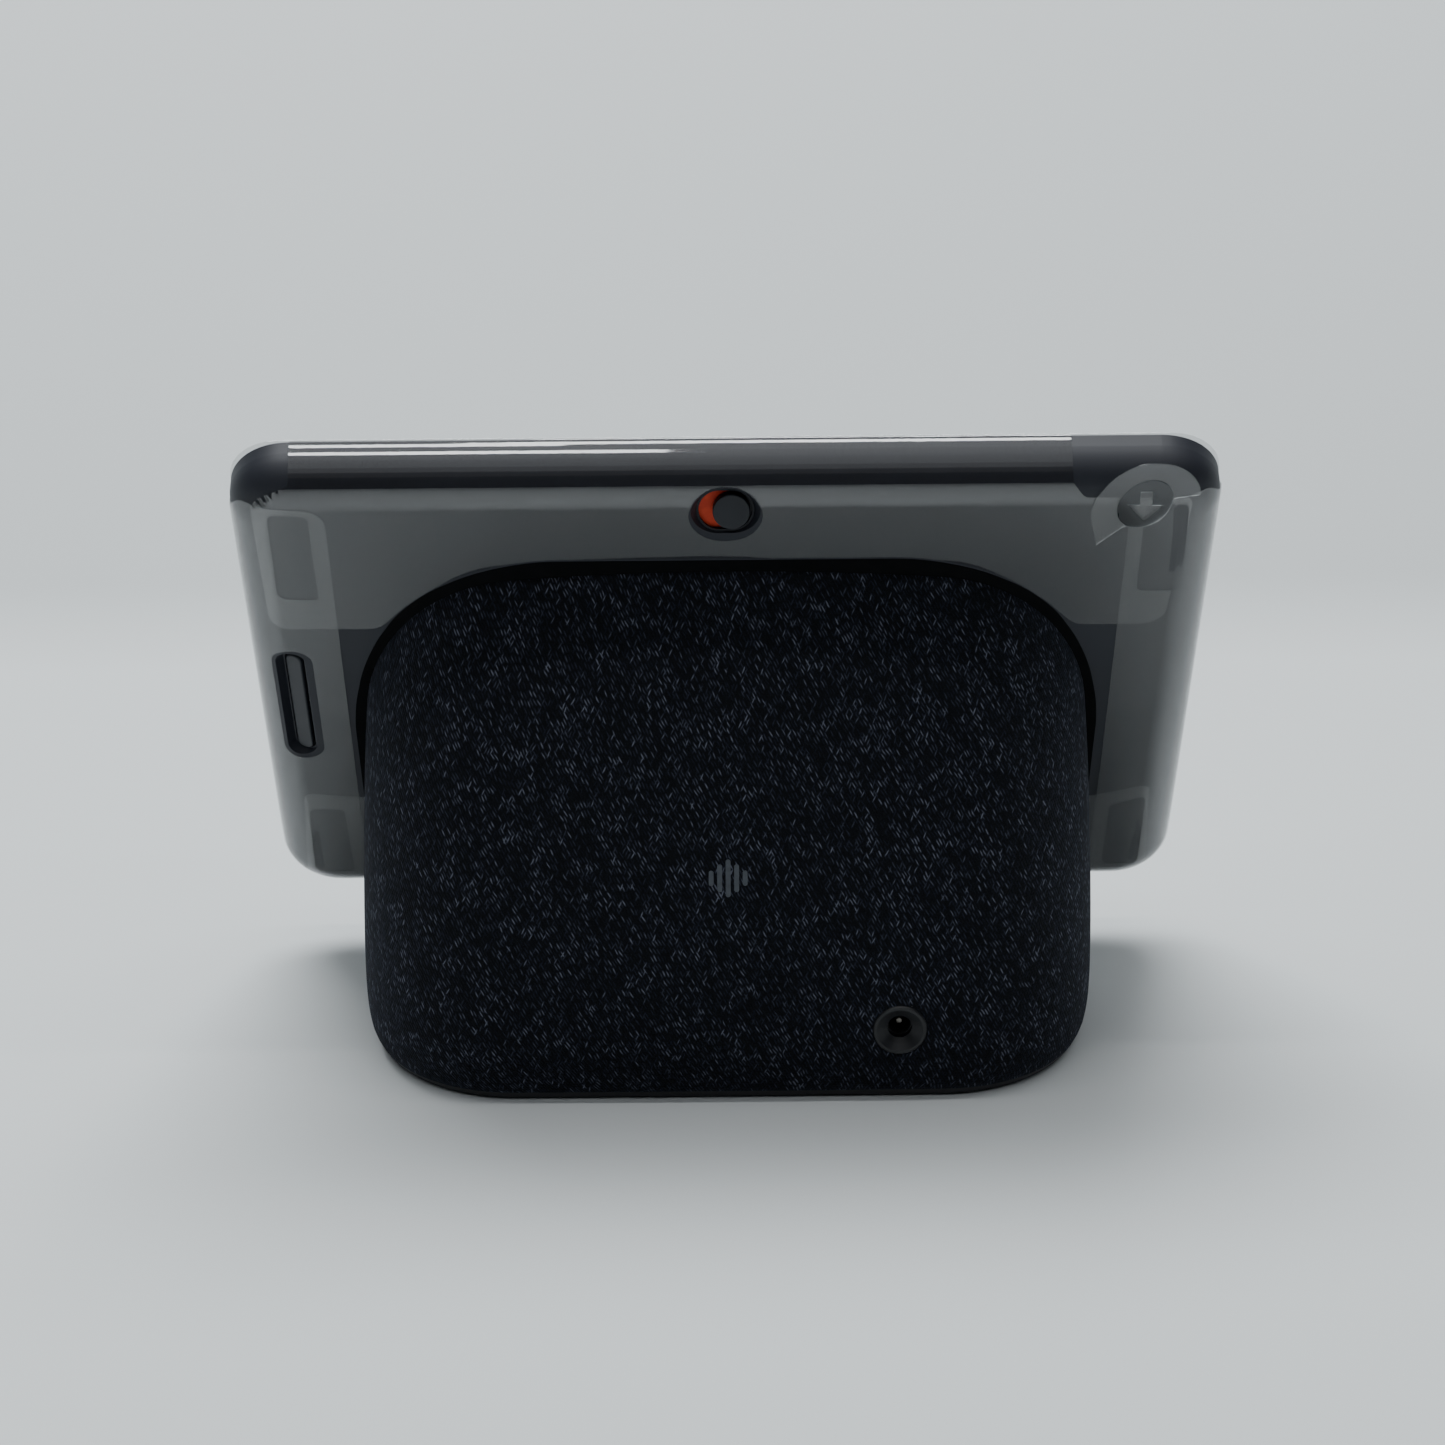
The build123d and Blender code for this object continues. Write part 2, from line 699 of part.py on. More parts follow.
def display_flex():
    """The flat cable from the screen's tray, out of the head and down to the main board."""
    near = head_point(0, 47, 6.4)
    bend = head_point(0, 27, 6.9)
    neck = head_point(0, 27, 19.5)
    path = FilletPolyline(
        (near.Y, near.Z), (bend.Y, bend.Z), (neck.Y, neck.Z), (-15.6, 30.0), (-14.0, 11.0),
        radius=1.6,
    )
    strip = trace(path, 0.3)
    return Plane.YZ * extrude(strip, 12, both=True)


def speaker_cable():
    """The woofer's two-core lead from the basket down to the main board."""
    route = FilletPolyline((42.3, 10, 46), (50, 12, 44), (52, 18, 26), (50, 22, 11.2), radius=4)
    section = Plane(origin=route @ 0, z_dir=route % 0) * Circle(0.9)
    return sweep(section, path=route)


# ---- power inlet ----
def power_jack():
    mouth = BASE_REAR_Y - JACK_RECESS
    body = along_y(5.4, mouth - 13, mouth)
    body -= along_y(JACK_BORE, mouth - JACK_BORE_LENGTH, mouth + 1)
    body -= along_y(1.0, mouth - 12, mouth)
    board = Pos(JACK_X, mouth - 9, JACK_Z - 8.4) * Box(12, 8, 6.2)
    return body + board


def power_jack_pin():
    mouth = BASE_REAR_Y - JACK_RECESS
    pin = along_y(1.0, mouth - 12, mouth - 1.6)
    return fillet(pin.faces().sort_by(Axis.Y)[-1].edges(), 0.5)


def power_jack_bezel():
    """The moulded ring around the inlet: a shallow funnel set into the fabric."""
    back = BASE_REAR_Y - 7.0
    mouth = BASE_REAR_Y - JACK_RECESS
    throat = mouth + 0.2
    funnel = throat + INLET_THROAT_LENGTH
    face = BASE_REAR_Y - 0.1
    ring = turned(
        (5.5, back), (BEZEL_RADIUS, back), (BEZEL_RADIUS, face - 0.4), (BEZEL_RADIUS - 0.4, face),
        (6.1, face), (INLET_THROAT, funnel), (INLET_THROAT, throat), (5.5, throat),
    )
    return Pos(JACK_X, 0, JACK_Z) * (Rot(-90, 0, 0) * ring)


# ---- rear mark ----
def badge_bars(back, front, grow=0.0):
    """Five upright rounded bars, like a sound level."""
    lean = radians(rear_lean(BADGE_Z))
    frame = Plane(
        origin=(0, rear_y(BADGE_Z), BADGE_Z), x_dir=(-1, 0, 0), z_dir=(0, cos(lean), sin(lean))
    )
    bars = []
    for x, length in BADGE_BARS:
        outline = Rot(0, 0, 90) * pill(length + 2 * grow, BADGE_BAR_WIDTH + 2 * grow)
        bars.append(frame * extrude(Pos(x, 0, back) * outline, front - back))
    return Part() + bars


def back_badge():
    return Compound(children=list(badge_bars(-1.2, 0.15).solids()))


# ---------------------------------------------------------------- transport film
def film_region():
    """The parts of the head that the folded film covers, as blocks on the bench."""
    edge = HEAD_WIDTH / 2 + 2
    covered = block(0, HEAD_HEIGHT / 2, 2 * edge, HEAD_HEIGHT + 4, -2, 3.0)
    covered += block(11.8, 149, 213, 60, -2, 20)
    for side in (-1, 1):
        covered += block(side * (edge + 100.9) / 2, 85, edge - 100.9, 168, -2, 20)
        covered += block(side * 108.5, 24, 17, 56, -2, 20)
    covered -= Pos(0, 60, -30) * extrude(RectangleRounded(181, 175, 38), 18)
    corners = block(-110, 180, 49, 18.6, 3.0, 20) + block(120, 180, 26, 20, 3.0, 20)
    return covered - corners


def film_wrap():
    skin = head_envelope(FILM_GAP + FILM_THICKNESS, -FILM_GAP - FILM_THICKNESS)
    skin -= head_envelope(FILM_GAP, -FILM_GAP)
    hole = switch_frame() * extrude(Pos(0, 0, -6) * pill(DISH_WIDTH + 1.6, DISH_HEIGHT + 1.6), 12)
    rocker_outline = Rot(0, 0, 90) * pill(RECESS_LENGTH + 2.2, RECESS_WIDTH + 2.0)
    rocker_hole = rocker_frame() * extrude(Pos(0, 0, -3) * rocker_outline, 8)
    wrap = (skin & film_region()) - hole - rocker_hole
    return wrap.solids().sort_by(SortBy.VOLUME)[-1]


def film_adhesive_pads():
    """The tape pads that hold the film's flaps down on the back."""
    back = HEAD_DEPTH + 0.16
    pads = []
    for side in (-1, 1):
        pads.append(plate(10, 32, 2.5, back, back + 0.1, mid_v=149, mid_u=side * 109.2))
        pads.append(plate(10, 31, 2.5, back, back + 0.1, mid_v=26, mid_u=side * 109.2))
    return Compound(children=pads)


def film_pull_tab():
    back = HEAD_DEPTH + 0.3
    return plate(29, 22, 10.8, back, back + 0.15, mid_v=168, mid_u=-104)


# ---------------------------------------------------------------- export
ON_HEAD = {
    "front_glass": front_glass,
    "edge_gasket": edge_gasket,
    "display_panel": display_panel,
    "backlight_unit": backlight_unit,
    "display_frame": display_frame,
    "head_rear_housing": head_rear_housing,
    "camera_module": camera_module,
    "camera_lens": camera_lens,
    "light_sensor": light_sensor,
    "status_led": status_led,
    "mic_board_left": lambda: mic_board(-1),
    "mic_board_right": lambda: mic_board(1),
    "wifi_antennas": wifi_antennas,
    "neck_bracket": neck_bracket,
    "neck_screws": neck_screws,
    "head_screws": head_screws,
    "mute_switch_knob": mute_switch_knob,
    "mute_slider_plate": mute_slider_plate,
    "mute_flag": mute_flag,
    "mute_switch_body": mute_switch_body,
    "volume_rocker": volume_rocker,
    "rocker_pin": rocker_pin,
    "volume_tact_switches": volume_tact_switches,
    "volume_board": volume_board,
    "film_wrap": film_wrap,
    "film_adhesive_pads": film_adhesive_pads,
    "film_pull_tab": film_pull_tab,
}
IN_BASE = {
    "fabric_sleeve": fabric_sleeve,
    "base_shell": base_shell,
    "base_cradle": base_cradle,
    "base_trim": base_trim,
    "base_plate": base_plate,
    "rubber_foot": rubber_foot,
    "base_screws": base_screws,
    "speaker_enclosure": speaker_enclosure,
    "woofer_basket": woofer_basket,
    "woofer_top_plate": woofer_top_plate,
    "woofer_magnet": woofer_magnet,
    "woofer_yoke": woofer_yoke,
    "woofer_voice_coil": woofer_voice_coil,
    "woofer_cone": woofer_cone,
    "woofer_dust_cap": woofer_dust_cap,
    "woofer_surround": woofer_surround,
    "woofer_spider": woofer_spider,
    "tweeter_left_body": lambda: tweeter_body(-1),
    "tweeter_right_body": lambda: tweeter_body(1),
    "tweeter_left_dome": lambda: tweeter_dome(-1),
    "tweeter_right_dome": lambda: tweeter_dome(1),
    "main_board": main_board,
    "shield_can": shield_can,
    "heat_spreader": heat_spreader,
    "board_connectors": board_connectors,
    "display_flex": display_flex,
    "speaker_cable": speaker_cable,
    "power_jack": power_jack,
    "power_jack_pin": power_jack_pin,
    "power_jack_bezel": power_jack_bezel,
    "back_badge": back_badge,
}

os.makedirs("parts", exist_ok=True)
for name, make in ON_HEAD.items():
    export_step(HEAD * make(), f"parts/{name}.step")
for name, make in IN_BASE.items():
    export_step(make(), f"parts/{name}.step")
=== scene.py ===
import math

import bmesh
import bpy
from mathutils import Matrix, Vector


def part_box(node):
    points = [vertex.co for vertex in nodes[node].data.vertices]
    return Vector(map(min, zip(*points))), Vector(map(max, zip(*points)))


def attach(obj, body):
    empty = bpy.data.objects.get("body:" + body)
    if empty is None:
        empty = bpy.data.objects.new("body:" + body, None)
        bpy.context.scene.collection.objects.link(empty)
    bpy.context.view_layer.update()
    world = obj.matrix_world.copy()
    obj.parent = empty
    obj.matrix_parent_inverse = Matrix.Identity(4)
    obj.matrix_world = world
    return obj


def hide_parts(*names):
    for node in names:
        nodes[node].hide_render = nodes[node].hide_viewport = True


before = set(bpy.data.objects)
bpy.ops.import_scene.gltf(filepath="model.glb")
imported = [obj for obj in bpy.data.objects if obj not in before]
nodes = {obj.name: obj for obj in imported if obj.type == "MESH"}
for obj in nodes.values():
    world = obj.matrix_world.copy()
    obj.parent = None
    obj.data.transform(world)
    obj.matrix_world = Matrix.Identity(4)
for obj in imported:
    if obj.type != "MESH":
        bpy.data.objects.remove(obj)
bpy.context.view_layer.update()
MM = 0.001

# ---------------------------------------------------------------- camera
# A normal lens about a metre behind the display and half a metre above the table, looking down
# at its back, so that the near face of the base and the rear of the head are both in view.
CAMERA_PLACE = Vector((0.004878, 0.91863, 0.51226))
CAMERA_PITCH = 0.431675
CAMERA_YAW = -0.004261
CAMERA_ROLL = -0.007320
SENSOR_WIDTH = 36.0
FOCAL_LENGTH = 93.97

look = Vector((
    math.sin(CAMERA_YAW) * math.cos(CAMERA_PITCH),
    -math.cos(CAMERA_YAW) * math.cos(CAMERA_PITCH),
    -math.sin(CAMERA_PITCH),
))
across = look.cross(Vector((0, 0, 1))).normalized()
upward = across.cross(look)
turned_across = math.cos(CAMERA_ROLL) * across + math.sin(CAMERA_ROLL) * upward
turned_up = math.cos(CAMERA_ROLL) * upward - math.sin(CAMERA_ROLL) * across
lens = bpy.data.cameras.new("camera")
lens.sensor_width = SENSOR_WIDTH
lens.lens = FOCAL_LENGTH
lens.clip_start = 0.01
camera = bpy.data.objects.new("camera", lens)
turn = Matrix((turned_across, turned_up, -look)).transposed()
camera.matrix_world = Matrix.Translation(CAMERA_PLACE) @ turn.to_4x4()
bpy.context.collection.objects.link(camera)
bpy.context.scene.camera = camera


# ---------------------------------------------------------------- table and wall
# A matt pale grey sweep: a table top that turns up into a leaning card behind the display. The
# card's back lets sight through, so that it hides nothing when looked at from the front.
TABLE_HALF_WIDTH = 2.4
TABLE_NEAR_Y = 3.2
WALL_Y = -0.238
WALL_LEAN = 42
SWEEP_RADIUS = 0.06
WALL_LENGTH = 2.4
SWEEP_STEPS = 12
PAPER = "#D3D8D9"


def linear(code):
    """An sRGB hex colour as linear red, green, blue and 1."""
    parts = [int(code[i:i + 2], 16) / 255 for i in (1, 3, 5)]
    return [c / 12.92 if c <= 0.04045 else ((c + 0.055) / 1.055) ** 2.4 for c in parts] + [1.0]


def add(tree, kind, inputs=None, **settings):
    """Adds a shader node, with its settings, and its sockets' values or links."""
    made = tree.nodes.new("ShaderNode" + kind)
    for name, value in settings.items():
        setattr(made, name, value)
    for key, value in (inputs or {}).items():
        if isinstance(value, bpy.types.NodeSocket):
            tree.links.new(value, made.inputs[key])
        else:
            made.inputs[key].default_value = value
    return made


def finish(name, colour, roughness, **sockets):
    """A material with one plain Principled shader. Socket names have _ for a space."""
    material = bpy.data.materials.new(name)
    material.use_nodes = True
    tree = material.node_tree
    shader = tree.nodes["Principled BSDF"]
    shader.inputs["Base Color"].default_value = linear(colour)
    shader.inputs["Roughness"].default_value = roughness
    for key, value in sockets.items():
        shader.inputs[key.replace("_", " ")].default_value = value
    return material, tree, shader


def new_piece(name, mesh_maker, material, body=None, smooth=True):
    """Turns a finished bmesh into an object at the origin that rides on a CAD body."""
    mesh = bpy.data.meshes.new(name)
    mesh_maker.to_mesh(mesh)
    mesh_maker.free()
    for face in mesh.polygons:
        face.use_smooth = smooth
    piece = bpy.data.objects.new(name, mesh)
    bpy.context.collection.objects.link(piece)
    piece.data.materials.append(material)
    if body:
        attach(piece, body)
    return piece


paper, tree, shader = finish("matt_backdrop_card", PAPER, 0.75, Specular_IOR_Level=0.25)
bm = bmesh.new()
edge = [
    bm.verts.new((side * TABLE_HALF_WIDTH, TABLE_NEAR_Y, 0)) for side in (-1, 1)
]
line = bm.edges.new(edge)
profile = [(WALL_Y, 0.0)]
for step in range(1, SWEEP_STEPS + 1):
    swing = math.radians(WALL_LEAN * step / SWEEP_STEPS)
    profile.append((
        WALL_Y - SWEEP_RADIUS * math.sin(swing), SWEEP_RADIUS * (1 - math.cos(swing)),
    ))
lean = math.radians(WALL_LEAN)
profile.append((
    profile[-1][0] - WALL_LENGTH * math.cos(lean), profile[-1][1] + WALL_LENGTH * math.sin(lean),
))
for y, z in profile:
    grown = bmesh.ops.extrude_edge_only(bm, edges=[line])["geom"]
    line = [g for g in grown if isinstance(g, bmesh.types.BMEdge)][0]
    for vert in line.verts:
        vert.co.y, vert.co.z = y, z
for face in bm.faces:
    face.normal_update()
    if face.normal.z < 0:
        face.normal_flip()
behind = add(tree, "NewGeometry").outputs["Backfacing"]
unseen = add(tree, "BsdfTransparent", {"Color": (1, 1, 1, 1)})
one_way = add(tree, "MixShader", {0: behind, 1: shader.outputs[0], 2: unseen.outputs[0]})
tree.links.new(one_way.outputs[0], tree.nodes["Material Output"].inputs["Surface"])
sweep = new_piece("backdrop_sweep", bm, paper)


# ---------------------------------------------------------------- light
# A white ceiling lit by tubes: a soft glow from above, dim towards the dark end of the room
# behind the viewer, two narrow tubes that draw lines along the glossy film, and a broad soft
# light over the back of the table that leaves the shadow on the near side.
CEILING_Z = 1.9
TUBE_LENGTH = 2.6
TUBE_WIDTH = 0.022
TUBE_TARGET = (0, 0.05, 0)
world = bpy.data.worlds.new("room")
bpy.context.scene.world = world
world.use_nodes = True
sky = world.node_tree
sky.nodes.clear()
direction = add(sky, "TexCoord").outputs["Generated"]
height = add(sky, "SeparateXYZ", {0: direction}).outputs["Z"]
glow = add(sky, "ValToRGB", {0: height})
glow.color_ramp.elements[0].position = 0.5
glow.color_ramp.elements[0].color = (0.03, 0.031, 0.036, 1)
glow.color_ramp.elements[1].position = 0.85
glow.color_ramp.elements[1].color = (0.42, 0.44, 0.46, 1)
background = add(sky, "Background", {"Color": glow.outputs[0], "Strength": 1.0})
add(sky, "OutputWorld", {0: background.outputs[0]})


def lamp(name, place, target, size_x, size_y, watts, tint="#FFFFFF"):
    """A flat lamp of the given size in metres, turned towards a place."""
    light = bpy.data.lights.new(name, "AREA")
    light.shape = "RECTANGLE"
    light.size, light.size_y = size_x, size_y
    light.energy = watts
    light.color = linear(tint)[:3]
    made = bpy.data.objects.new(name, light)
    made.location = place
    aim = Vector(target) - Vector(place)
    made.rotation_euler = aim.to_track_quat("-Z", "Y").to_euler()
    bpy.context.collection.objects.link(made)


lamp("ceiling_tube_over", (0.0, 0.28, CEILING_Z), TUBE_TARGET, TUBE_LENGTH, TUBE_WIDTH, 9.0)
lamp("ceiling_tube_far", (0.0, 1.3, CEILING_Z), TUBE_TARGET, TUBE_LENGTH, TUBE_WIDTH, 5.0)
lamp("soft_back_light", (0.15, -0.45, 1.6), (0, 0.0, 0), 1.3, 0.6, 34.0, "#FAFDFF")


# ---------------------------------------------------------------- head housing
# The rear shell of the screen head is injection-moulded PC/ABS with a fine spark-eroded grain,
# charcoal with a trace of blue. It is matt, and only its round edges catch a soft sheen.
HEAD_TILT = math.radians(28)
HEAD_HALF_WIDTH = 125.05
HEAD_TOP = 177.0
HEAD_DEPTH = 14.5
HEAD_CORNER = 16.0
REAR_ROUNDING = 10.5
LIP_DEPTH = 0.4

housing_low, housing_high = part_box("head_rear_housing")
FACE_Y = housing_low.y / MM - LIP_DEPTH * math.cos(HEAD_TILT)
FACE_Z = (
    housing_high.z / MM - HEAD_TOP * math.cos(HEAD_TILT) + LIP_DEPTH * math.sin(HEAD_TILT)
)


def on_head(u, v, w):
    """A point u across, v up the face and w behind it, in millimetres, as a place in metres."""
    y = FACE_Y + v * math.sin(HEAD_TILT) + w * math.cos(HEAD_TILT)
    z = FACE_Z + v * math.cos(HEAD_TILT) - w * math.sin(HEAD_TILT)
    return Vector((u, y, z)) * MM


def grain(tree, shader, size_mm, depth_mm, detail=2.0):
    """A moulded or cast surface: noise bump whose lumps are size_mm across."""
    place = add(tree, "TexCoord").outputs["Object"]
    lumps = add(tree, "TexNoise", {
        "Vector": place, "Scale": 1 / (size_mm * MM), "Detail": detail,
    })
    bump = add(tree, "Bump", {
        "Height": lumps.outputs[0], "Distance": depth_mm * MM, "Strength": 1.0,
    })
    tree.links.new(bump.outputs[0], shader.inputs["Normal"])


def mottle(tree, shader, colour_a, colour_b, size_mm, low=0.35, high=0.65, detail=3.0):
    """Two close colours that drift into each other over size_mm."""
    place = add(tree, "TexCoord").outputs["Object"]
    patches = add(tree, "TexNoise", {
        "Vector": place, "Scale": 1 / (size_mm * MM), "Detail": detail,
    })
    ramp = add(tree, "ValToRGB", {0: patches.outputs[0]})
    ramp.color_ramp.elements[0].position = low
    ramp.color_ramp.elements[0].color = linear(colour_a)
    ramp.color_ramp.elements[1].position = high
    ramp.color_ramp.elements[1].color = linear(colour_b)
    tree.links.new(ramp.outputs[0], shader.inputs["Base Color"])


def dress(material, *names):
    """Gives CAD nodes a material in place of the plain one they came with."""
    for name in names:
        mesh = nodes[name].data
        mesh.materials.clear()
        mesh.materials.append(material)


# Eroded mould grain about 0.25 mm across, drawn at 0.5 mm so that it shows at this distance.
housing_abs, tree, shader = finish("moulded_charcoal_abs", "#25282E", 0.5, Specular_IOR_Level=0.3)
mottle(tree, shader, "#23252C", "#272A31", 60, 0.3, 0.7)
grain(tree, shader, 0.5, 0.012)
dress(housing_abs, "head_rear_housing")


# ---------------------------------------------------------------- cover glass and screen
# One sheet of chemically strengthened glass, printed black on its back round the screen. The
# print stops at the picture area and at the camera and sensor holes, where the glass is clear.
SCREEN_HALF_WIDTH = 108.3
SCREEN_LOW = 23.0
SCREEN_HIGH = 158.5
SENSOR_V = 168.0
SENSOR_HOLES = ((0, 2.3), (17, 1.3), (-12, 0.7))  # across from the middle, and radius

cover_glass, tree, shader = finish(
    "black_printed_cover_glass", "#101114", 0.05, Coat_Weight=0.6, Coat_Roughness=0.03,
)
place = add(tree, "TexCoord").outputs["Object"]
slid = add(tree, "Mapping", {"Vector": place, "Location": tuple(-on_head(0, 0, 0))})
turned_back = add(tree, "Mapping", {"Vector": slid.outputs[0], "Rotation": (HEAD_TILT, 0, 0)})
flat = add(tree, "SeparateXYZ", {0: turned_back.outputs[0]})


def inside(tree, value, middle, half):
    """1 where a coordinate is within half of middle, both in millimetres."""
    off = add(tree, "Math", {0: value, 1: middle * MM}, operation="SUBTRACT")
    far = add(tree, "Math", {0: off.outputs[0]}, operation="ABSOLUTE")
    return add(tree, "Math", {0: far.outputs[0], 1: half * MM}, operation="LESS_THAN").outputs[0]


screen_middle = (SCREEN_LOW + SCREEN_HIGH) / 2
window = add(tree, "Math", {
    0: inside(tree, flat.outputs["X"], 0, SCREEN_HALF_WIDTH),
    1: inside(tree, flat.outputs["Z"], screen_middle, (SCREEN_HIGH - SCREEN_LOW) / 2),
}, operation="MULTIPLY").outputs[0]
for u, half in SENSOR_HOLES:
    spot = add(tree, "Math", {
        0: inside(tree, flat.outputs["X"], u, half),
        1: inside(tree, flat.outputs["Z"], SENSOR_V, half),
    }, operation="MULTIPLY")
    window = add(tree, "Math", {0: window, 1: spot.outputs[0]}, operation="MAXIMUM").outputs[0]
clear = add(tree, "BsdfTransparent", {"Color": (0.93, 0.95, 0.95, 1)})
glint = add(tree, "BsdfGlossy", {"Color": (1, 1, 1, 1), "Roughness": 0.03})
facing = add(tree, "LayerWeight", {"Blend": 0.5}).outputs["Facing"]
edge_on = add(tree, "Math", {0: facing, 1: 5.0}, operation="POWER")
mirror = add(tree, "Math", {0: edge_on.outputs[0], 1: 0.95, 2: 0.04}, operation="MULTIPLY_ADD")
pane = add(tree, "MixShader", {0: mirror.outputs[0], 1: clear.outputs[0], 2: glint.outputs[0]})
printed = add(tree, "MixShader", {0: window, 1: shader.outputs[0], 2: pane.outputs[0]})
tree.links.new(printed.outputs[0], tree.nodes["Material Output"].inputs["Surface"])
dress(cover_glass, "front_glass")

# A switched-off colour filter: nearly black, with a faint blue cast and a soft sheen.
screen_off, tree, shader = finish("switched_off_lcd", "#0B0D12", 0.22, Specular_IOR_Level=0.5)
mottle(tree, shader, "#0A0C11", "#0E1117", 30)
dress(screen_off, "display_panel")

# Clear optical windows with a violet coating, and the black barrel round the camera's lens.
lens_coating, tree, shader = finish("coated_lens_glass", "#171233", 0.04, Coat_Weight=1.0)
mottle(tree, shader, "#0C0B1E", "#241A4D", 2.5)
dress(lens_coating, "camera_lens", "light_sensor")
led_epoxy, tree, shader = finish("clear_led_epoxy", "#D9DAD2", 0.12, Coat_Weight=0.5)
mottle(tree, shader, "#CFD0C6", "#E4E5DE", 1.0)
dress(led_epoxy, "status_led")


# ---------------------------------------------------------------- inside the head
# The screen's sandwich: foam gasket, backlight in a white tray, a pressed aluminium frame with
# swaged ribs, and small circuit boards for the microphones, camera and keys.
foam, tree, shader = finish("black_pe_foam", "#1B1B1D", 0.9)
grain(tree, shader, 0.6, 0.1)
dress(foam, "edge_gasket")

tray_white, tree, shader = finish("white_pet_reflector", "#E6E7E3", 0.4)
mottle(tree, shader, "#DFE0DB", "#ECEDE9", 20)
dress(tray_white, "backlight_unit")

# Rolled sheet: fine lines along the rolling direction, drawn 0.8 mm apart.
sheet_metal, tree, shader = finish("pressed_aluminium_sheet", "#B4B6B8", 0.38, Metallic=1.0)
place = add(tree, "TexCoord").outputs["Object"]
pulled = add(tree, "Mapping", {"Vector": place, "Scale": (0.03, 1, 1)})
lines = add(tree, "TexNoise", {"Vector": pulled.outputs[0], "Scale": 1250.0, "Detail": 2.0})
rough = add(tree, "MapRange", {"Value": lines.outputs[0], "To Min": 0.3, "To Max": 0.48})
tree.links.new(rough.outputs[0], shader.inputs["Roughness"])
dress(sheet_metal, "display_frame", "heat_spreader")

# Zinc-plated pressed steel: bluish, with a slightly cloudy passivated skin.
zinc_steel, tree, shader = finish("zinc_plated_steel", "#A9AEB4", 0.33, Metallic=1.0)
mottle(tree, shader, "#9EA4AB", "#B7BBBF", 4)
dress(
    zinc_steel, "neck_bracket", "neck_screws", "head_screws", "base_screws", "rocker_pin",
    "woofer_top_plate", "woofer_yoke", "shield_can",
)

# Glass-epoxy board under green solder mask, with the copper pattern just showing through it.
board_green, tree, shader = finish("green_solder_mask_board", "#12402C", 0.28, Coat_Weight=0.4)
place = add(tree, "TexCoord").outputs["Object"]
copper = add(tree, "TexBrick", {
    "Vector": place, "Scale": 240.0, "Color1": linear("#14482F"), "Color2": linear("#10392A"),
    "Mortar": linear("#1D5B3C"), "Mortar Size": 0.06,
})
tree.links.new(copper.outputs[0], shader.inputs["Base Color"])
dress(board_green, "main_board", "mic_board_left", "mic_board_right", "volume_board")

# Amber polyimide with copper lines, as on flat cables and printed aerials.
polyimide, tree, shader = finish("amber_polyimide_flex", "#8A5A1E", 0.3)
place = add(tree, "TexCoord").outputs["Object"]
tracks = add(tree, "TexWave", {"Vector": place, "Scale": 300.0, "Distortion": 0.0})
lay = add(tree, "ValToRGB", {0: tracks.outputs[0]})
lay.color_ramp.elements[0].color = linear("#7A4E19")
lay.color_ramp.elements[1].color = linear("#A66F2B")
tree.links.new(lay.outputs[0], shader.inputs["Base Color"])
dress(polyimide, "display_flex", "wifi_antennas")

# Glass-filled nylon for hidden mouldings: near black, a little streaky, with a dull skin.
black_nylon, tree, shader = finish("glass_filled_nylon", "#17181A", 0.55)
mottle(tree, shader, "#141517", "#1D1E21", 6)
grain(tree, shader, 0.8, 0.02)
dress(
    black_nylon, "camera_module", "mute_switch_body", "volume_tact_switches",
    "board_connectors", "base_cradle", "base_plate", "speaker_enclosure", "woofer_basket",
    "tweeter_left_body", "tweeter_right_body", "power_jack", "base_shell",
)


# ---------------------------------------------------------------- mute switch
# A round sliding button in a dished pocket. Knob and dish are the housing's plastic with a
# finer grain, and an orange patch on the slider shows beside the knob.
knob_abs, tree, shader = finish("fine_grain_key_abs", "#1D2026", 0.46, Specular_IOR_Level=0.35)
mottle(tree, shader, "#1B1E24", "#202329", 8)
grain(tree, shader, 0.3, 0.006)
dress(knob_abs, "mute_switch_knob", "mute_slider_plate", "volume_rocker")

orange_print, tree, shader = finish("orange_pad_print", "#E8401A", 0.5, Specular_IOR_Level=0.3)
mottle(tree, shader, "#E03A16", "#F04A20", 3)
dress(orange_print, "mute_flag")


# ---------------------------------------------------------------- woofer and tweeters
# Behind the rear grille: a pressed paper cone with a rubber roll, a copper coil on a ferrite
# motor, and two small silk domes at the front of the base.
paper_cone, tree, shader = finish("pressed_paper_cone", "#1F1F20", 0.8)
mottle(tree, shader, "#18181A", "#2A2A2B", 2.0)
grain(tree, shader, 1.2, 0.15)
dress(paper_cone, "woofer_cone", "woofer_dust_cap", "woofer_spider")

butyl, tree, shader = finish("butyl_rubber", "#141415", 0.5)
mottle(tree, shader, "#121213", "#19191A", 12)
grain(tree, shader, 0.5, 0.02)
dress(butyl, "woofer_surround")

ferrite, tree, shader = finish("sintered_ferrite", "#2B2B2E", 0.6)
mottle(tree, shader, "#242427", "#353538", 1.5)
dress(ferrite, "woofer_magnet")

copper_wire, tree, shader = finish("enamelled_copper_wire", "#B4683A", 0.3, Metallic=1.0)
place = add(tree, "TexCoord").outputs["Object"]
turns = add(tree, "TexWave", {"Vector": place, "Scale": 500.0}, bands_direction="Z")
ridge = add(tree, "Bump", {"Height": turns.outputs[0], "Distance": 0.0001})
tree.links.new(ridge.outputs[0], shader.inputs["Normal"])
dress(copper_wire, "woofer_voice_coil")

cable_pvc, tree, shader = finish("black_pvc_sheath", "#1C1C1E", 0.42)
mottle(tree, shader, "#191919", "#222224", 5)
dress(cable_pvc, "speaker_cable")

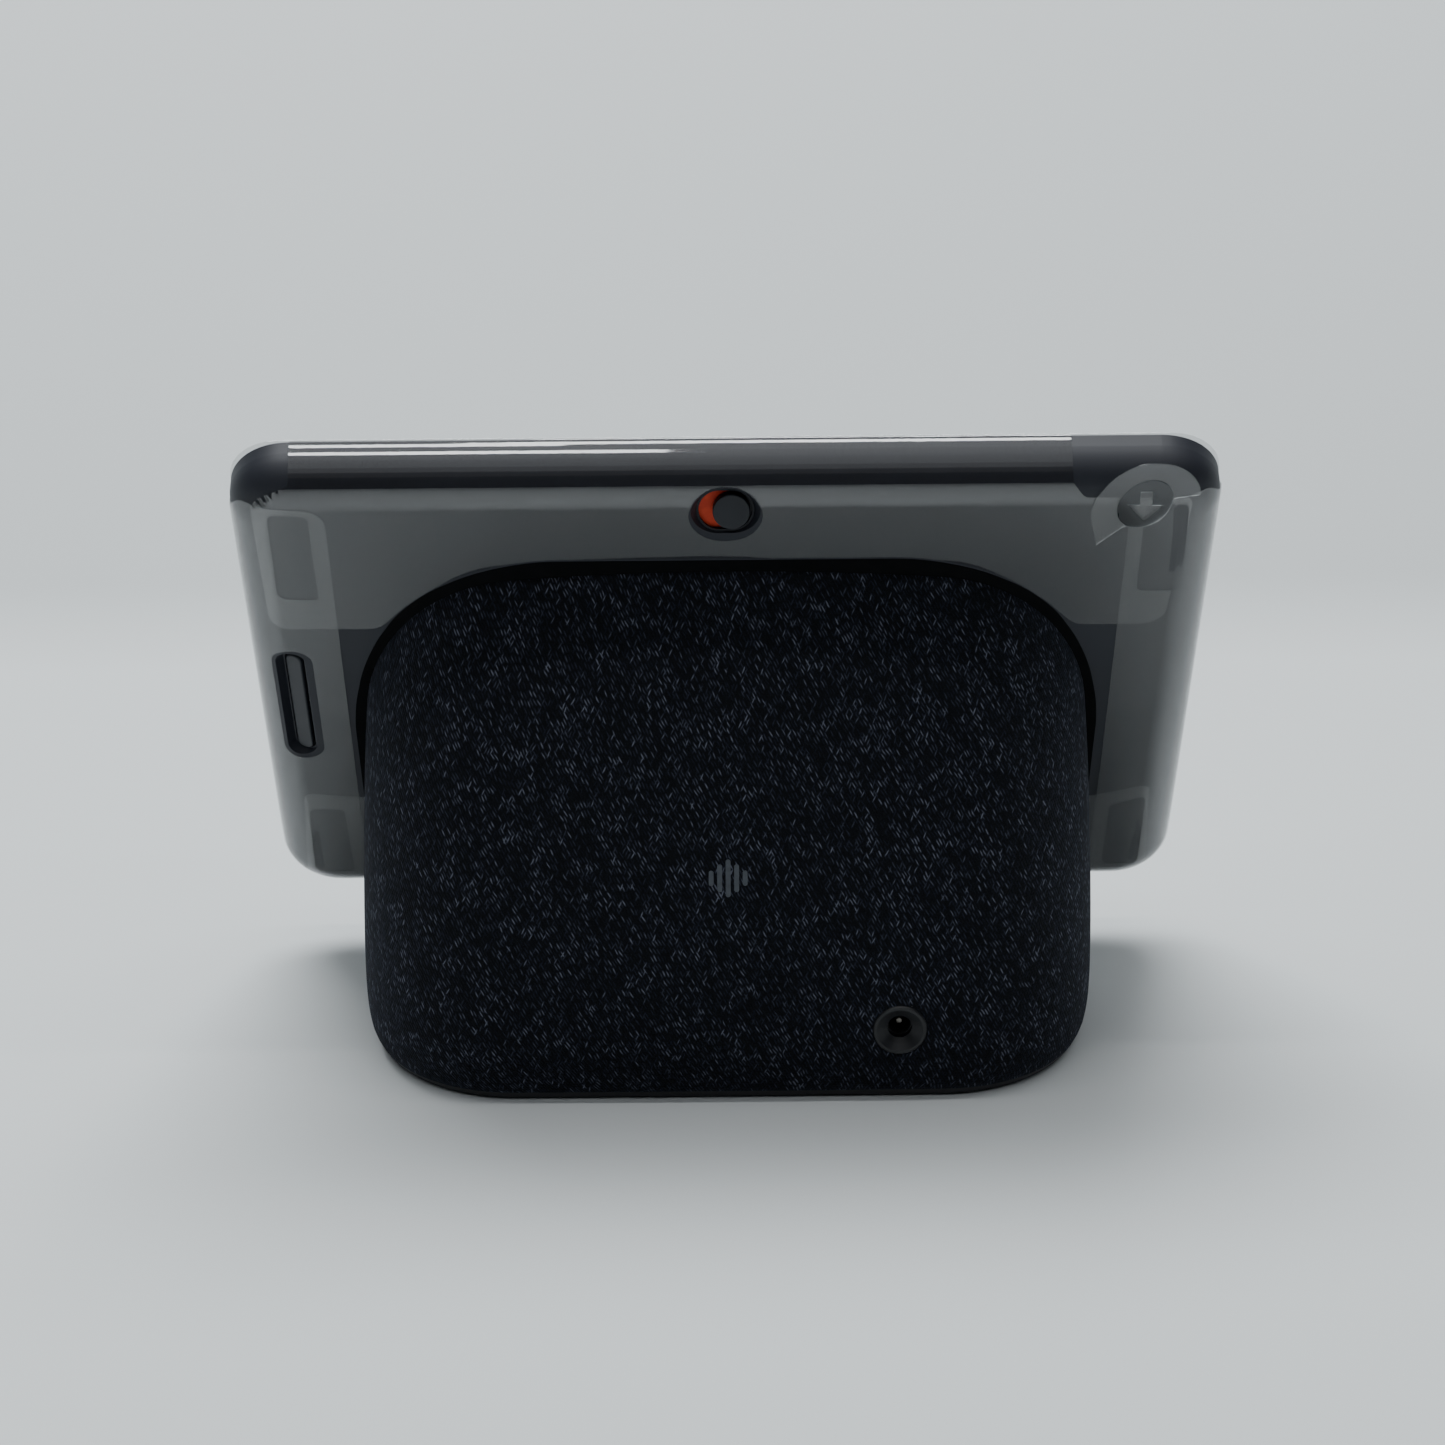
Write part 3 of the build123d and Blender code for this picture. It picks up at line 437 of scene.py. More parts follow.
silk, tree, shader = finish("doped_silk_dome", "#222224", 0.5, Sheen_Weight=0.3)
place = add(tree, "TexCoord").outputs["Object"]
threads = add(tree, "TexWave", {"Vector": place, "Scale": 900.0})
weave = add(tree, "Bump", {"Height": threads.outputs[0], "Distance": 0.00005})
tree.links.new(weave.outputs[0], shader.inputs["Normal"])
dress(silk, "tweeter_left_dome", "tweeter_right_dome")


# ---------------------------------------------------------------- bottom of the base
# The knit is tucked behind a black moulded lip, and the whole stands on a silicone foot with a
# fine matt texture that keeps it from sliding.
lip_abs, tree, shader = finish("satin_black_lip", "#0C0E13", 0.45)
mottle(tree, shader, "#0A0C11", "#0F1116", 25)
grain(tree, shader, 0.6, 0.01)
dress(lip_abs, "base_trim", "power_jack_bezel")

silicone, tree, shader = finish("matt_silicone_foot", "#101114", 0.68)
mottle(tree, shader, "#0E0F12", "#141518", 18)
grain(tree, shader, 0.9, 0.03)
dress(silicone, "rubber_foot")


# ---------------------------------------------------------------- knit sleeve
# A polyester melange knit, stretched over the base shell like a sock and glued. Near-black navy
# yarn is plied with paler filaments, so single stitches flash grey-blue here and there.
BASE_REAR_Y = 50.615
BASE_FRONT_Y = -34.0
BASE_CORNER = 39.0
WIDEST_Z = 22.0
REAR_ARC = 361.0
KNIT_THICKNESS = 1.6
KNIT_LOW_Z = 2.8
HEAD_GAP = 0.2
FOOT_TUCK = 2.5
FOOT_TUCK_Z = 8.0
LOW_CURVE = 113.0
BASE_LEVELS = (  # height, half width, how far the rear is crowned, front corner radius
    (0, 95.4, 0.6, 30),
    (7, 97.8, 0.8, 30),
    (22, 98.6, 1.2, 30),
    (60, 97.6, 2.6, 30),
    (100, 95.4, 4.6, 26),
    (150, 90.5, 6.5, 15),
)


def level_value(z, column):
    """A base size at a height, on a smooth curve through the levels."""
    rows = BASE_LEVELS
    k = max(i for i in range(len(rows) - 1) if rows[i][0] <= z or i == 0)
    z0, z1 = rows[k][0], rows[k + 1][0]
    t = (z - z0) / (z1 - z0)

    def slope(i):
        a, b = max(i - 1, 0), min(i + 1, len(rows) - 1)
        return (rows[b][column] - rows[a][column]) / (rows[b][0] - rows[a][0])

    p0, p1 = rows[k][column], rows[k + 1][column]
    m0, m1 = slope(k) * (z1 - z0), slope(k + 1) * (z1 - z0)
    return (
        (2 * t**3 - 3 * t**2 + 1) * p0 + (t**3 - 2 * t**2 + t) * m0
        + (3 * t**2 - 2 * t**3) * p1 + (t**3 - t**2) * m1
    )


def rear_y(z):
    """How far back the middle of the base's rear lies at a height."""
    if z < WIDEST_Z:
        return BASE_REAR_Y - (WIDEST_Z - z) ** 2 / LOW_CURVE
    return BASE_REAR_Y - REAR_ARC + math.sqrt(REAR_ARC**2 - (z - WIDEST_Z) ** 2)


def section_half(z):
    """Points of half a level's outline, from the middle of the rear round to the front."""
    a, crown, small = (level_value(z, column) for column in (1, 2, 3))
    rear = rear_y(z)
    front = BASE_FRONT_Y + FOOT_TUCK * max(0.0, 1 - z / FOOT_TUCK_Z) ** 2
    crown_radius = (a**2 + crown**2) / (2 * crown)
    rise = math.sqrt((crown_radius - BASE_CORNER) ** 2 - (a - BASE_CORNER) ** 2)
    centre = (a - BASE_CORNER, rear - crown_radius + rise)
    swing = math.atan2(rise, a - BASE_CORNER)
    points = []
    for i in range(17):  # the crowned rear
        angle = math.pi / 2 - (math.pi / 2 - swing) * i / 16
        points.append((
            crown_radius * math.cos(angle), rear - crown_radius + crown_radius * math.sin(angle),
        ))
    for i in range(1, 19):  # the rear corner
        angle = swing * (1 - i / 18)
        points.append((
            centre[0] + BASE_CORNER * math.cos(angle), centre[1] + BASE_CORNER * math.sin(angle),
        ))
    side_end = front + small
    for i in range(1, 5):  # the side
        points.append((a, centre[1] + (side_end - centre[1]) * i / 4))
    for i in range(1, 13):  # the front corner
        angle = -math.pi / 2 * i / 12
        points.append((a - small + small * math.cos(angle), side_end + small * math.sin(angle)))
    for i in range(1, 9):  # the front
        points.append(((a - small) * (1 - i / 8), front))
    return points


def section(z):
    """Points round a level's whole outline."""
    half = section_half(z)
    return half + [(-x, y) for x, y in reversed(half[1:-1])]


def base_form(low, high, step):
    """The base's outer form as a tube, with a pattern map: round it, and up it, in metres."""
    form = bmesh.new()
    ring_size = len(section(60.0))
    start = bmesh.ops.create_circle(form, segments=ring_size, radius=1.0)["verts"]
    heights = [low + (high - low) * i / step for i in range(step + 1)]
    rings = [list(start)]
    edges = [e for e in form.edges]
    for _ in heights[1:]:
        grown = bmesh.ops.extrude_edge_only(form, edges=edges)["geom"]
        edges = [g for g in grown if isinstance(g, bmesh.types.BMEdge)]
        ring = [g for g in grown if isinstance(g, bmesh.types.BMVert)]
        order = {v: i for i, v in enumerate(rings[-1])}
        lined = [None] * ring_size
        for vert in ring:
            for e in vert.link_edges:
                other = e.other_vert(vert)
                if other in order:
                    lined[order[other]] = vert
        rings.append(lined)
    middle = section(60.0)
    travel = [0.0]
    for i in range(1, ring_size + 1):
        p, q = middle[i - 1], middle[i % ring_size]
        travel.append(travel[-1] + math.hypot(p[0] - q[0], p[1] - q[1]))
    climb = [0.0]
    for i in range(1, len(heights)):
        climb.append(climb[-1] + math.hypot(
            heights[i] - heights[i - 1], rear_y(heights[i]) - rear_y(heights[i - 1]),
        ))
    place_of = {}
    for level, (z, ring) in enumerate(zip(heights, rings)):
        for i, (vert, (x, y)) in enumerate(zip(ring, section(z))):
            vert.co = Vector((x, y, z)) * MM
            place_of[vert] = (i, climb[level])
    chart = form.loops.layers.uv.new("knit")
    for face in form.faces:
        around = [place_of[loop.vert][0] for loop in face.loops]
        wraps = max(around) - min(around) > ring_size / 2
        for loop in face.loops:
            i, up = place_of[loop.vert]
            if wraps and i == 0:
                i = ring_size
            loop[chart].uv = (travel[i] * MM, up * MM)
    bmesh.ops.recalc_face_normals(form, faces=form.faces)
    return form


def cut_with(piece, cutter):
    """Takes one closed mesh out of another, for good."""
    step = piece.modifiers.new("cut", "BOOLEAN")
    step.operation, step.solver, step.object = "DIFFERENCE", "EXACT", cutter
    graph = bpy.context.evaluated_depsgraph_get()
    made = bpy.data.meshes.new_from_object(piece.evaluated_get(graph))
    piece.modifiers.clear()
    piece.data = made
    bpy.data.objects.remove(cutter)


def rod(radius, start, end):
    """A closed round bar between two places, in metres."""
    bar = bmesh.new()
    axis = end - start
    turn = axis.to_track_quat("Z", "Y").to_matrix().to_4x4()
    bmesh.ops.create_cone(
        bar, cap_ends=True, segments=64, radius1=radius, radius2=radius,
        depth=axis.length, matrix=Matrix.Translation((start + end) / 2) @ turn,
    )
    return bar


# Each stitch shows one leg: a dash about 0.5 mm wide and 2.2 mm long that leans to the right,
# with some leaning the other way where the plied yarn turns over.
STITCH_WIDTH = 0.8
STITCH_LENGTH = 2.5
LEAN_RIGHT = 27
LEAN_LEFT = -24
knit, tree, shader = finish(
    "navy_melange_knit", "#10141D", 0.9, Sheen_Weight=0.15, Sheen_Roughness=0.4,
    Sheen_Tint=linear("#56637F"), Specular_IOR_Level=0.2,
)
chart = add(tree, "UVMap", uv_map="knit").outputs[0]
wander = add(tree, "TexNoise", {"Vector": chart, "Scale": 240.0, "Detail": 1.0})
shift = add(tree, "VectorMath", {
    0: wander.outputs["Color"], 1: (0.5, 0.5, 0.5),
}, operation="SUBTRACT").outputs[0]
nudged = add(tree, "VectorMath", {
    0: shift, 1: (0.0009, 0.0005, 0), 2: chart,
}, operation="MULTIPLY_ADD").outputs[0]


def maths(tree, operation, *values):
    """One Math node's result."""
    return add(tree, "Math", dict(enumerate(values)), operation=operation).outputs[0]


def legs(tree, place, lean, seed):
    """Staggered dashes that lean by an angle: how raised each is, and its own random value."""
    turned = add(tree, "Mapping", {
        "Vector": place, "Rotation": (0, 0, math.radians(lean)), "Location": (seed, seed, 0),
    })
    split = add(tree, "SeparateXYZ", {0: turned.outputs[0]})
    rows = maths(tree, "MULTIPLY", split.outputs["X"], 1 / (STITCH_WIDTH * MM))
    row = maths(tree, "FLOOR", rows)
    stagger = add(tree, "TexWhiteNoise", {"W": row}, noise_dimensions="1D").outputs["Value"]
    along = maths(tree, "MULTIPLY_ADD", split.outputs["Y"], 1 / (STITCH_LENGTH * MM), stagger)
    cell = add(tree, "CombineXYZ", {"X": row, "Y": maths(tree, "FLOOR", along)})
    lot = add(tree, "TexWhiteNoise", {"Vector": cell.outputs[0]}, noise_dimensions="3D")
    height = 1.0
    for share, narrow in ((maths(tree, "FRACT", rows), 1.8), (maths(tree, "FRACT", along), 0.45)):
        back = maths(tree, "SUBTRACT", 1.0, share)
        hump = maths(tree, "MULTIPLY", maths(tree, "MULTIPLY", share, back), 4.0)
        height = maths(tree, "MULTIPLY", maths(tree, "POWER", hump, narrow), height)
    return height, lot.outputs["Value"]


raised_a, lot_a = legs(tree, nudged, LEAN_RIGHT, 0.0)
raised_b, lot_b = legs(tree, nudged, LEAN_LEFT, 0.013)
seen_a = maths(tree, "MULTIPLY", raised_a, maths(tree, "MULTIPLY_ADD", lot_a, 0.8, 0.2))
seen_b = maths(tree, "MULTIPLY", raised_b, maths(tree, "POWER", lot_b, 3.0))
both = maths(tree, "MAXIMUM", seen_a, seen_b)
drift = add(tree, "TexNoise", {"Vector": chart, "Scale": 130.0, "Detail": 1.0}).outputs[0]
uneven = maths(tree, "MULTIPLY", both, maths(tree, "MULTIPLY_ADD", drift, 0.7, 0.6))
pale = add(tree, "ValToRGB", {0: uneven})
pale.color_ramp.elements[0].position = 0.0
pale.color_ramp.elements[0].color = linear("#020409")
pale.color_ramp.elements[1].position = 0.9
pale.color_ramp.elements[1].color = linear("#5F6370")
for position, colour in ((0.25, "#05080F"), (0.45, "#141825"), (0.7, "#30343F")):
    mark = pale.color_ramp.elements.new(position)
    mark.color = linear(colour)
tree.links.new(pale.outputs[0], shader.inputs["Base Color"])
surface = maths(tree, "MAXIMUM", raised_a, maths(tree, "MULTIPLY", raised_b, 0.7))
relief = add(tree, "Bump", {"Height": surface, "Distance": 0.0003, "Strength": 0.8})
tree.links.new(relief.outputs[0], shader.inputs["Normal"])

form = base_form(KNIT_LOW_Z, 150.0, 70)
head_back = on_head(0, 0, HEAD_DEPTH + HEAD_GAP)
head_normal = on_head(0, 0, 1) - on_head(0, 0, 0)
bmesh.ops.bisect_plane(
    form, geom=form.verts[:] + form.edges[:] + form.faces[:], plane_co=head_back,
    plane_no=head_normal, clear_inner=True, dist=1e-7,
)
bmesh.ops.solidify(form, geom=form.faces[:], thickness=KNIT_THICKNESS * MM)
sleeve = new_piece("knit_sleeve", form, knit, "housing")
bezel_low, bezel_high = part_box("power_jack_bezel")
jack = (bezel_low + bezel_high) / 2
hole = rod(
    bezel_high.x - jack.x + 0.05 * MM, Vector((jack.x, 0.03, jack.z)),
    Vector((jack.x, 0.07, jack.z)),
)
cut_with(sleeve, new_piece("cutter", hole, knit))
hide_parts("fabric_sleeve")


# ---------------------------------------------------------------- power inlet and rear mark
# A round DC socket behind a moulded ring that the knit is trimmed to. The pin is nickel-plated
# brass. Over it sits a generic sound-level mark of five raised bars.
nickel, tree, shader = finish("nickel_plated_brass", "#7E7B74", 0.42, Metallic=1.0)
mottle(tree, shader, "#75726B", "#88857E", 1.0)
dress(nickel, "power_jack_pin")

badge_print, tree, shader = finish("grey_heat_pressed_mark", "#3A4048", 0.5)
mottle(tree, shader, "#363C44", "#414750", 2)
dress(badge_print, "back_badge")


# ---------------------------------------------------------------- transport film
# Clear polyester film about 0.1 mm thick, folded round the head in the factory: one sheet over
# the screen, with flaps over the top, bottom and sides that tape pads hold down on the back.
# Each of its faces mirrors a few percent, and far more at a glancing angle.
FILM_THICK = 0.1
FILM_GAP = 0.06
UPPER_GAP = 0.24
EDGE_WALL = 3.5
FOLD = 0.5
BULGE = 0.3
FLAT_TURN_IN = 0.8
STRAIGHT_U = HEAD_HALF_WIDTH - REAR_ROUNDING
STRAIGHT_V = (REAR_ROUNDING, HEAD_TOP - REAR_ROUNDING)
INNER_CORNER = HEAD_CORNER - REAR_ROUNDING
QUARTER = REAR_ROUNDING * math.pi / 2
OVER_EDGE = QUARTER + EDGE_WALL + FOLD * math.pi / 2 + FLAT_TURN_IN


def wrapped(u, v, gap):
    """Where a point of the flat cut film lies once it is folded round the head."""
    near_u = max(-STRAIGHT_U + INNER_CORNER, min(STRAIGHT_U - INNER_CORNER, u))
    near_v = max(STRAIGHT_V[0] + INNER_CORNER, min(STRAIGHT_V[1] - INNER_CORNER, v))
    away = math.hypot(u - near_u, v - near_v)
    run = away - INNER_CORNER
    if run <= 0:
        return on_head(u, v, HEAD_DEPTH + gap)
    side_u, side_v = (u - near_u) / away, (v - near_v) / away
    if run < QUARTER:
        turned = run / REAR_ROUNDING
        out = (REAR_ROUNDING + gap) * math.sin(turned)
        back = HEAD_DEPTH - REAR_ROUNDING + (REAR_ROUNDING + gap) * math.cos(turned)
    elif run < QUARTER + EDGE_WALL:
        share = (run - QUARTER) / EDGE_WALL
        out = REAR_ROUNDING + gap + BULGE * math.sin(math.pi * share)
        back = HEAD_DEPTH - REAR_ROUNDING - EDGE_WALL * share
    else:
        turned = min((run - QUARTER - EDGE_WALL) / FOLD, math.pi / 2)
        spare = max(0.0, run - QUARTER - EDGE_WALL - FOLD * math.pi / 2)
        out = REAR_ROUNDING + gap - FOLD + FOLD * math.cos(turned) - spare
        back = FOLD - (FOLD + gap) * math.sin(turned)
    out += INNER_CORNER
    return on_head(near_u + side_u * out, near_v + side_v * out, back)


# Face on, a seventh of the light meets a gloss tinted to 0.42, which is the 6% that polyester
# mirrors; edge on, all of it meets a full mirror. Slow waves in the film make its lines waver.
FACE_ON_SHARE = 0.14
FACE_ON_TINT = 0.42
clear_film = bpy.data.materials.new("clear_polyester_film")
clear_film.use_nodes = True
tree = clear_film.node_tree
tree.nodes.remove(tree.nodes["Principled BSDF"])
place = add(tree, "TexCoord").outputs["Object"]
waver = add(tree, "TexNoise", {"Vector": place, "Scale": 30.0, "Detail": 1.0})
slack = add(tree, "Bump", {"Height": waver.outputs[0], "Distance": 0.0002})
facing = add(tree, "LayerWeight", {"Blend": 0.5}).outputs["Facing"]
edge_on = add(tree, "Math", {0: facing, 1: 5.0}, operation="POWER").outputs[0]
mirror = add(tree, "Math", {
    0: edge_on, 1: 1 - FACE_ON_SHARE, 2: FACE_ON_SHARE,
}, operation="MULTIPLY_ADD").outputs[0]
silver = add(tree, "MixRGB", {
    0: edge_on, 1: [FACE_ON_TINT] * 3 + [1], 2: (1, 1, 1, 1),
}).outputs[0]
through = add(tree, "BsdfTransparent", {"Color": (1, 1, 1, 1)}).outputs[0]
gloss = add(tree, "BsdfGlossy", {
    "Color": silver, "Roughness": 0.02, "Normal": slack.outputs[0],
}).outputs[0]
layer = add(tree, "MixShader", {0: mirror, 1: through, 2: gloss})
tree.links.new(layer.outputs[0], tree.nodes["Material Output"].inputs["Surface"])


def cut_sheet(corners):
    """A flat sheet face from (u, v, corner radius) points, each corner rounded."""
    sheet = bmesh.new()
    points = [sheet.verts.new((u, v, 0)) for u, v, _ in corners]
    sheet.faces.new(points)
    for radius in sorted({r for _, _, r in corners if r}):
        chosen = [p for p, (_, _, r) in zip(points, corners) if r == radius and p.is_valid]
        bmesh.ops.bevel(
            sheet, geom=chosen, offset=radius, segments=7, profile=0.5, affect="VERTICES",
            material=-1,
        )
    return sheet


def thicken(sheet, thick):
    """Makes a flat sheet into a closed flat block."""
    for item in bmesh.ops.extrude_face_region(sheet, geom=sheet.faces[:])["geom"]:
        if isinstance(item, bmesh.types.BMVert):
            item.co.z += thick


def crease(sheet, stops_u, stops_v):
    """Divides a flat sheet along lines of constant u and v, so that it can be bent there."""
    for stops, normal in ((stops_u, (1, 0, 0)), (stops_v, (0, 1, 0))):
        for stop in stops:
            bmesh.ops.bisect_plane(
                sheet, geom=sheet.verts[:] + sheet.edges[:] + sheet.faces[:],
                plane_co=(stop, stop, 0), plane_no=normal, dist=1e-5,
            )


OUTWARD = [0.0, 0.6] + [1.2 * k for k in range(1, 14)] + [
    QUARTER + EDGE_WALL * k / 8 for k in range(9)
] + [QUARTER + EDGE_WALL + FOLD * math.pi / 2 * k / 4 for k in range(1, 5)]
CORNER_STEPS = (-5.5, -3.7, -1.8)
BENDS_U = [STRAIGHT_U + s for s in OUTWARD] + [STRAIGHT_U + s for s in CORNER_STEPS]
BENDS_V = [STRAIGHT_V[1] + s for s in OUTWARD] + [STRAIGHT_V[1] + s for s in CORNER_STEPS]
LOW_BENDS_V = [STRAIGHT_V[0] - s for s in OUTWARD] + [STRAIGHT_V[0] - s for s in CORNER_STEPS]


def film_piece(name, corners, gap, thick=FILM_THICK, bends_u=(), bends_v=(), lift=None):
    """Cuts a flap flat, gives it its thickness and folds it round the head."""
    sheet = cut_sheet(corners)
    crease(sheet, bends_u, bends_v)
    thicken(sheet, thick)
    for point in sheet.verts:
        u, v, rise = point.co
        point.co = wrapped(u, v, gap + rise + (lift(u, v) if lift else 0.0))
    bmesh.ops.recalc_face_normals(sheet, faces=sheet.faces)
    return new_piece(name, sheet, clear_film, "housing", smooth=False)


def through_head(corners, low=9.0, high=19.0):
    """A block of an outline that passes through the films along the head's depth."""
    block = cut_sheet(corners)
    thicken(block, high - low)
    for point in block.verts:
        point.co = on_head(point.co.x, point.co.y, low + point.co.z)
    bmesh.ops.recalc_face_normals(block, faces=block.faces)
    return new_piece("cutter", block, clear_film)


# The tape windows, where both layers are stuck together: outlines of (u, v, corner radius).
WINDOW_UPPER_LEFT = (
    (104.7, 165.0, 2), (114.8, 165.6, 2), (115.1, 132.6, 3), (104.6, 132.0, 1.5),
)
WINDOW_UPPER_RIGHT = (
    (-105.0, 166.6, 2), (-105.5, 133.2, 1.5), (-117.0, 132.8, 4), (-116.0, 166.8, 2),
)
WINDOW_LOWER_LEFT = (
    (104.9, 11.0, 2), (105.6, 40.4, 1.5), (115.1, 40.8, 2), (116.0, 11.0, 2),
)
WINDOW_LOWER_RIGHT = (
    (-106.0, 11.5, 2), (-106.0, 39.2, 1.5), (-115.8, 43.4, 2), (-116.0, 11.0, 2),
)

# Top flap: cut out round the base's arch and the mute switch, with both corners left bare.
TOP_END = STRAIGHT_V[1] + OVER_EDGE
top_corners = (
    (108.8, TOP_END, 0), (108.8, 174.2, 0.8), (118.9, 169.6, 4), (118.2, 120.2, 5),
    (90.0, 119.9, 2.5), (78.5, 134.3, 9), (58.0, 147.2, 14),
    (-58.0, 147.2, 14), (-78.5, 134.3, 9), (-90.5, 119.3, 2.5),
    (-113.6, 119.2, 6), (-117.0, 168.9, 3), (-89.6, 169.3, 1.2), (-86.6, 173.4, 1.2),
    (-86.4, TOP_END, 0),
)


PLEAT_MIDDLE = (108.5, 161.0)
PLEAT_START = 8.0
PLEAT_ANGLES = (15, 85)
PLEAT_HEIGHT = 0.28
PLEATS_PER_TURN = 36


def gathered(u, v):
    """The small pleats where the top flap's corner is drawn round the head's corner."""
    across, up = u - PLEAT_MIDDLE[0], v - PLEAT_MIDDLE[1]
    reach = math.hypot(across, up)
    angle = math.degrees(math.atan2(up, across))
    first, last = PLEAT_ANGLES
    if reach < PLEAT_START or not first < angle < last:
        return 0.0
    fade = math.sin(math.radians((angle - first) / (last - first) * 180))
    depth = min(1.0, (reach - PLEAT_START) / 3.0) * fade
    return PLEAT_HEIGHT * depth * (1 + math.sin(math.radians(angle * PLEATS_PER_TURN)))


fine_u = [108.0 + 0.35 * k for k in range(32)]
fine_v = [167.0 + 0.35 * k for k in range(22)]
FLAP_HALF_WIDTH = 119
flap_bends_u = [u for u in BENDS_U if u < FLAP_HALF_WIDTH]
top_flap = film_piece(
    "film_top_flap", top_corners, FILM_GAP,
    bends_u=flap_bends_u + fine_u + [-u for u in flap_bends_u],
    bends_v=BENDS_V + fine_v, lift=gathered,
)
knob_low, knob_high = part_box("mute_switch_knob")
dish_z = (knob_low.z + knob_high.z) / 2
DISH_HALF = (9.3, 8.6)
dish = bmesh.new()
bmesh.ops.create_circle(dish, cap_ends=True, segments=64, radius=DISH_HALF[1] * MM)
thicken(dish, 0.1)
for point in dish.verts:
    stretch = math.copysign((DISH_HALF[0] - DISH_HALF[1]) * MM, point.co.x)
    point.co = Vector((point.co.x + stretch, point.co.z, point.co.y + dish_z))
bmesh.ops.recalc_face_normals(dish, faces=dish.faces)
cut_with(top_flap, new_piece("cutter", dish, clear_film))
cut_with(top_flap, through_head(WINDOW_UPPER_LEFT))
cut_with(top_flap, through_head(WINDOW_UPPER_RIGHT))
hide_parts("film_wrap")

# Side flaps, folded over the top flap; the one beside the volume key is cut out round it.
SIDE_END = STRAIGHT_U + OVER_EDGE
left_corners = (
    (SIDE_END, 156.0, 0), (131.0, 158.6, 0), (122.6, 168.0, 2), (100.4, 167.2, 6),
    (101.0, 44.0, 0), (101.0, 8.8, 5), (118.0, 8.6, 2), (131.0, 18.0, 0), (SIDE_END, 20.0, 0),
)
SIDE_BENDS_V = (
    BENDS_V[:8] + BENDS_V[-3:] + LOW_BENDS_V[:8] + LOW_BENDS_V[-3:] + [60, 100, 140]
)
left_flap = film_piece(
    "film_side_flap_left", left_corners, UPPER_GAP, bends_u=BENDS_U, bends_v=SIDE_BENDS_V,
)
cut_with(left_flap, through_head(WINDOW_UPPER_LEFT))
cut_with(left_flap, through_head(WINDOW_LOWER_LEFT))
# The key's recess is a slot on the rounded edge, so the hole for it leans outwards.
ROCKER_LEAN = math.radians(20)
ROCKER_U, ROCKER_V = 114.0, 87.8
RECESS_HALF = (23.2, 5.3)
key_hole = bmesh.new()
bmesh.ops.create_circle(key_hole, cap_ends=True, segments=64, radius=RECESS_HALF[1])
thicken(key_hole, 16.0)
for point in key_hole.verts:
    x, y, z = point.co
    y += math.copysign(RECESS_HALF[0] - RECESS_HALF[1], y)
    z -= 8.0
    point.co = on_head(
        ROCKER_U + x * math.cos(ROCKER_LEAN) + z * math.sin(ROCKER_LEAN), ROCKER_V + y,
        HEAD_DEPTH - x * math.sin(ROCKER_LEAN) + z * math.cos(ROCKER_LEAN),
    )
bmesh.ops.recalc_face_normals(key_hole, faces=key_hole.faces)
cut_with(left_flap, new_piece("cutter", key_hole, clear_film))

right_corners = (
    (-101.3, 168.2, 5), (-122.0, 169.3, 2), (-131.0, 161.5, 0), (-SIDE_END, 158.5, 0),
    (-SIDE_END, 20.0, 0), (-131.0, 18.0, 0), (-118.0, 8.6, 2), (-101.8, 8.8, 5),
    (-102.1, 60.0, 0), (-101.7, 119.5, 0),
)
right_flap = film_piece(
    "film_side_flap_right", right_corners, UPPER_GAP, bends_u=[-u for u in BENDS_U],
    bends_v=SIDE_BENDS_V,
)
cut_with(right_flap, through_head(WINDOW_UPPER_RIGHT))
cut_with(right_flap, through_head(WINDOW_LOWER_RIGHT))

# Bottom flap: one strip under the head whose two ends come up the back beside the base.
LOW_END = STRAIGHT_V[0] - OVER_EDGE
low_corners = (
    (108.0, LOW_END, 0), (108.6, 2.5, 1.5), (118.6, 7.0, 4), (116.0, 48.2, 3),
    (104.0, 46.4, 4), (98.9, 46.0, 1), (92.0, 12.0, 6), (80.0, 6.0, 4),
    (-80.0, 6.0, 4), (-92.0, 12.0, 6), (-98.9, 43.5, 1), (-104.0, 44.6, 4), (-116.4, 48.8, 3),
    (-118.6, 7.0, 4), (-108.6, 2.5, 1.5), (-108.0, LOW_END, 0),
)
low_flap = film_piece(
    "film_bottom_flap", low_corners, FILM_GAP,
    bends_u=flap_bends_u + [-u for u in flap_bends_u],
    bends_v=LOW_BENDS_V,
)
cut_with(low_flap, through_head(WINDOW_LOWER_LEFT))
cut_with(low_flap, through_head(WINDOW_LOWER_RIGHT))

# The sheet over the screen. Its corners are cut less round than the head's, so they stand proud.
SHEET_CORNER = 13.6
front_sheet = cut_sheet((
    (HEAD_HALF_WIDTH, 0, SHEET_CORNER), (HEAD_HALF_WIDTH, HEAD_TOP, SHEET_CORNER),
    (-HEAD_HALF_WIDTH, HEAD_TOP, SHEET_CORNER), (-HEAD_HALF_WIDTH, 0, SHEET_CORNER),
))
thicken(front_sheet, FILM_THICK)
for point in front_sheet.verts:
    point.co = on_head(point.co.x, point.co.y, point.co.z - FILM_GAP - 2 * FILM_THICK - 0.02)
bmesh.ops.recalc_face_normals(front_sheet, faces=front_sheet.faces)
screen_film = new_piece("film_screen_sheet", front_sheet, clear_film, "housing", smooth=False)

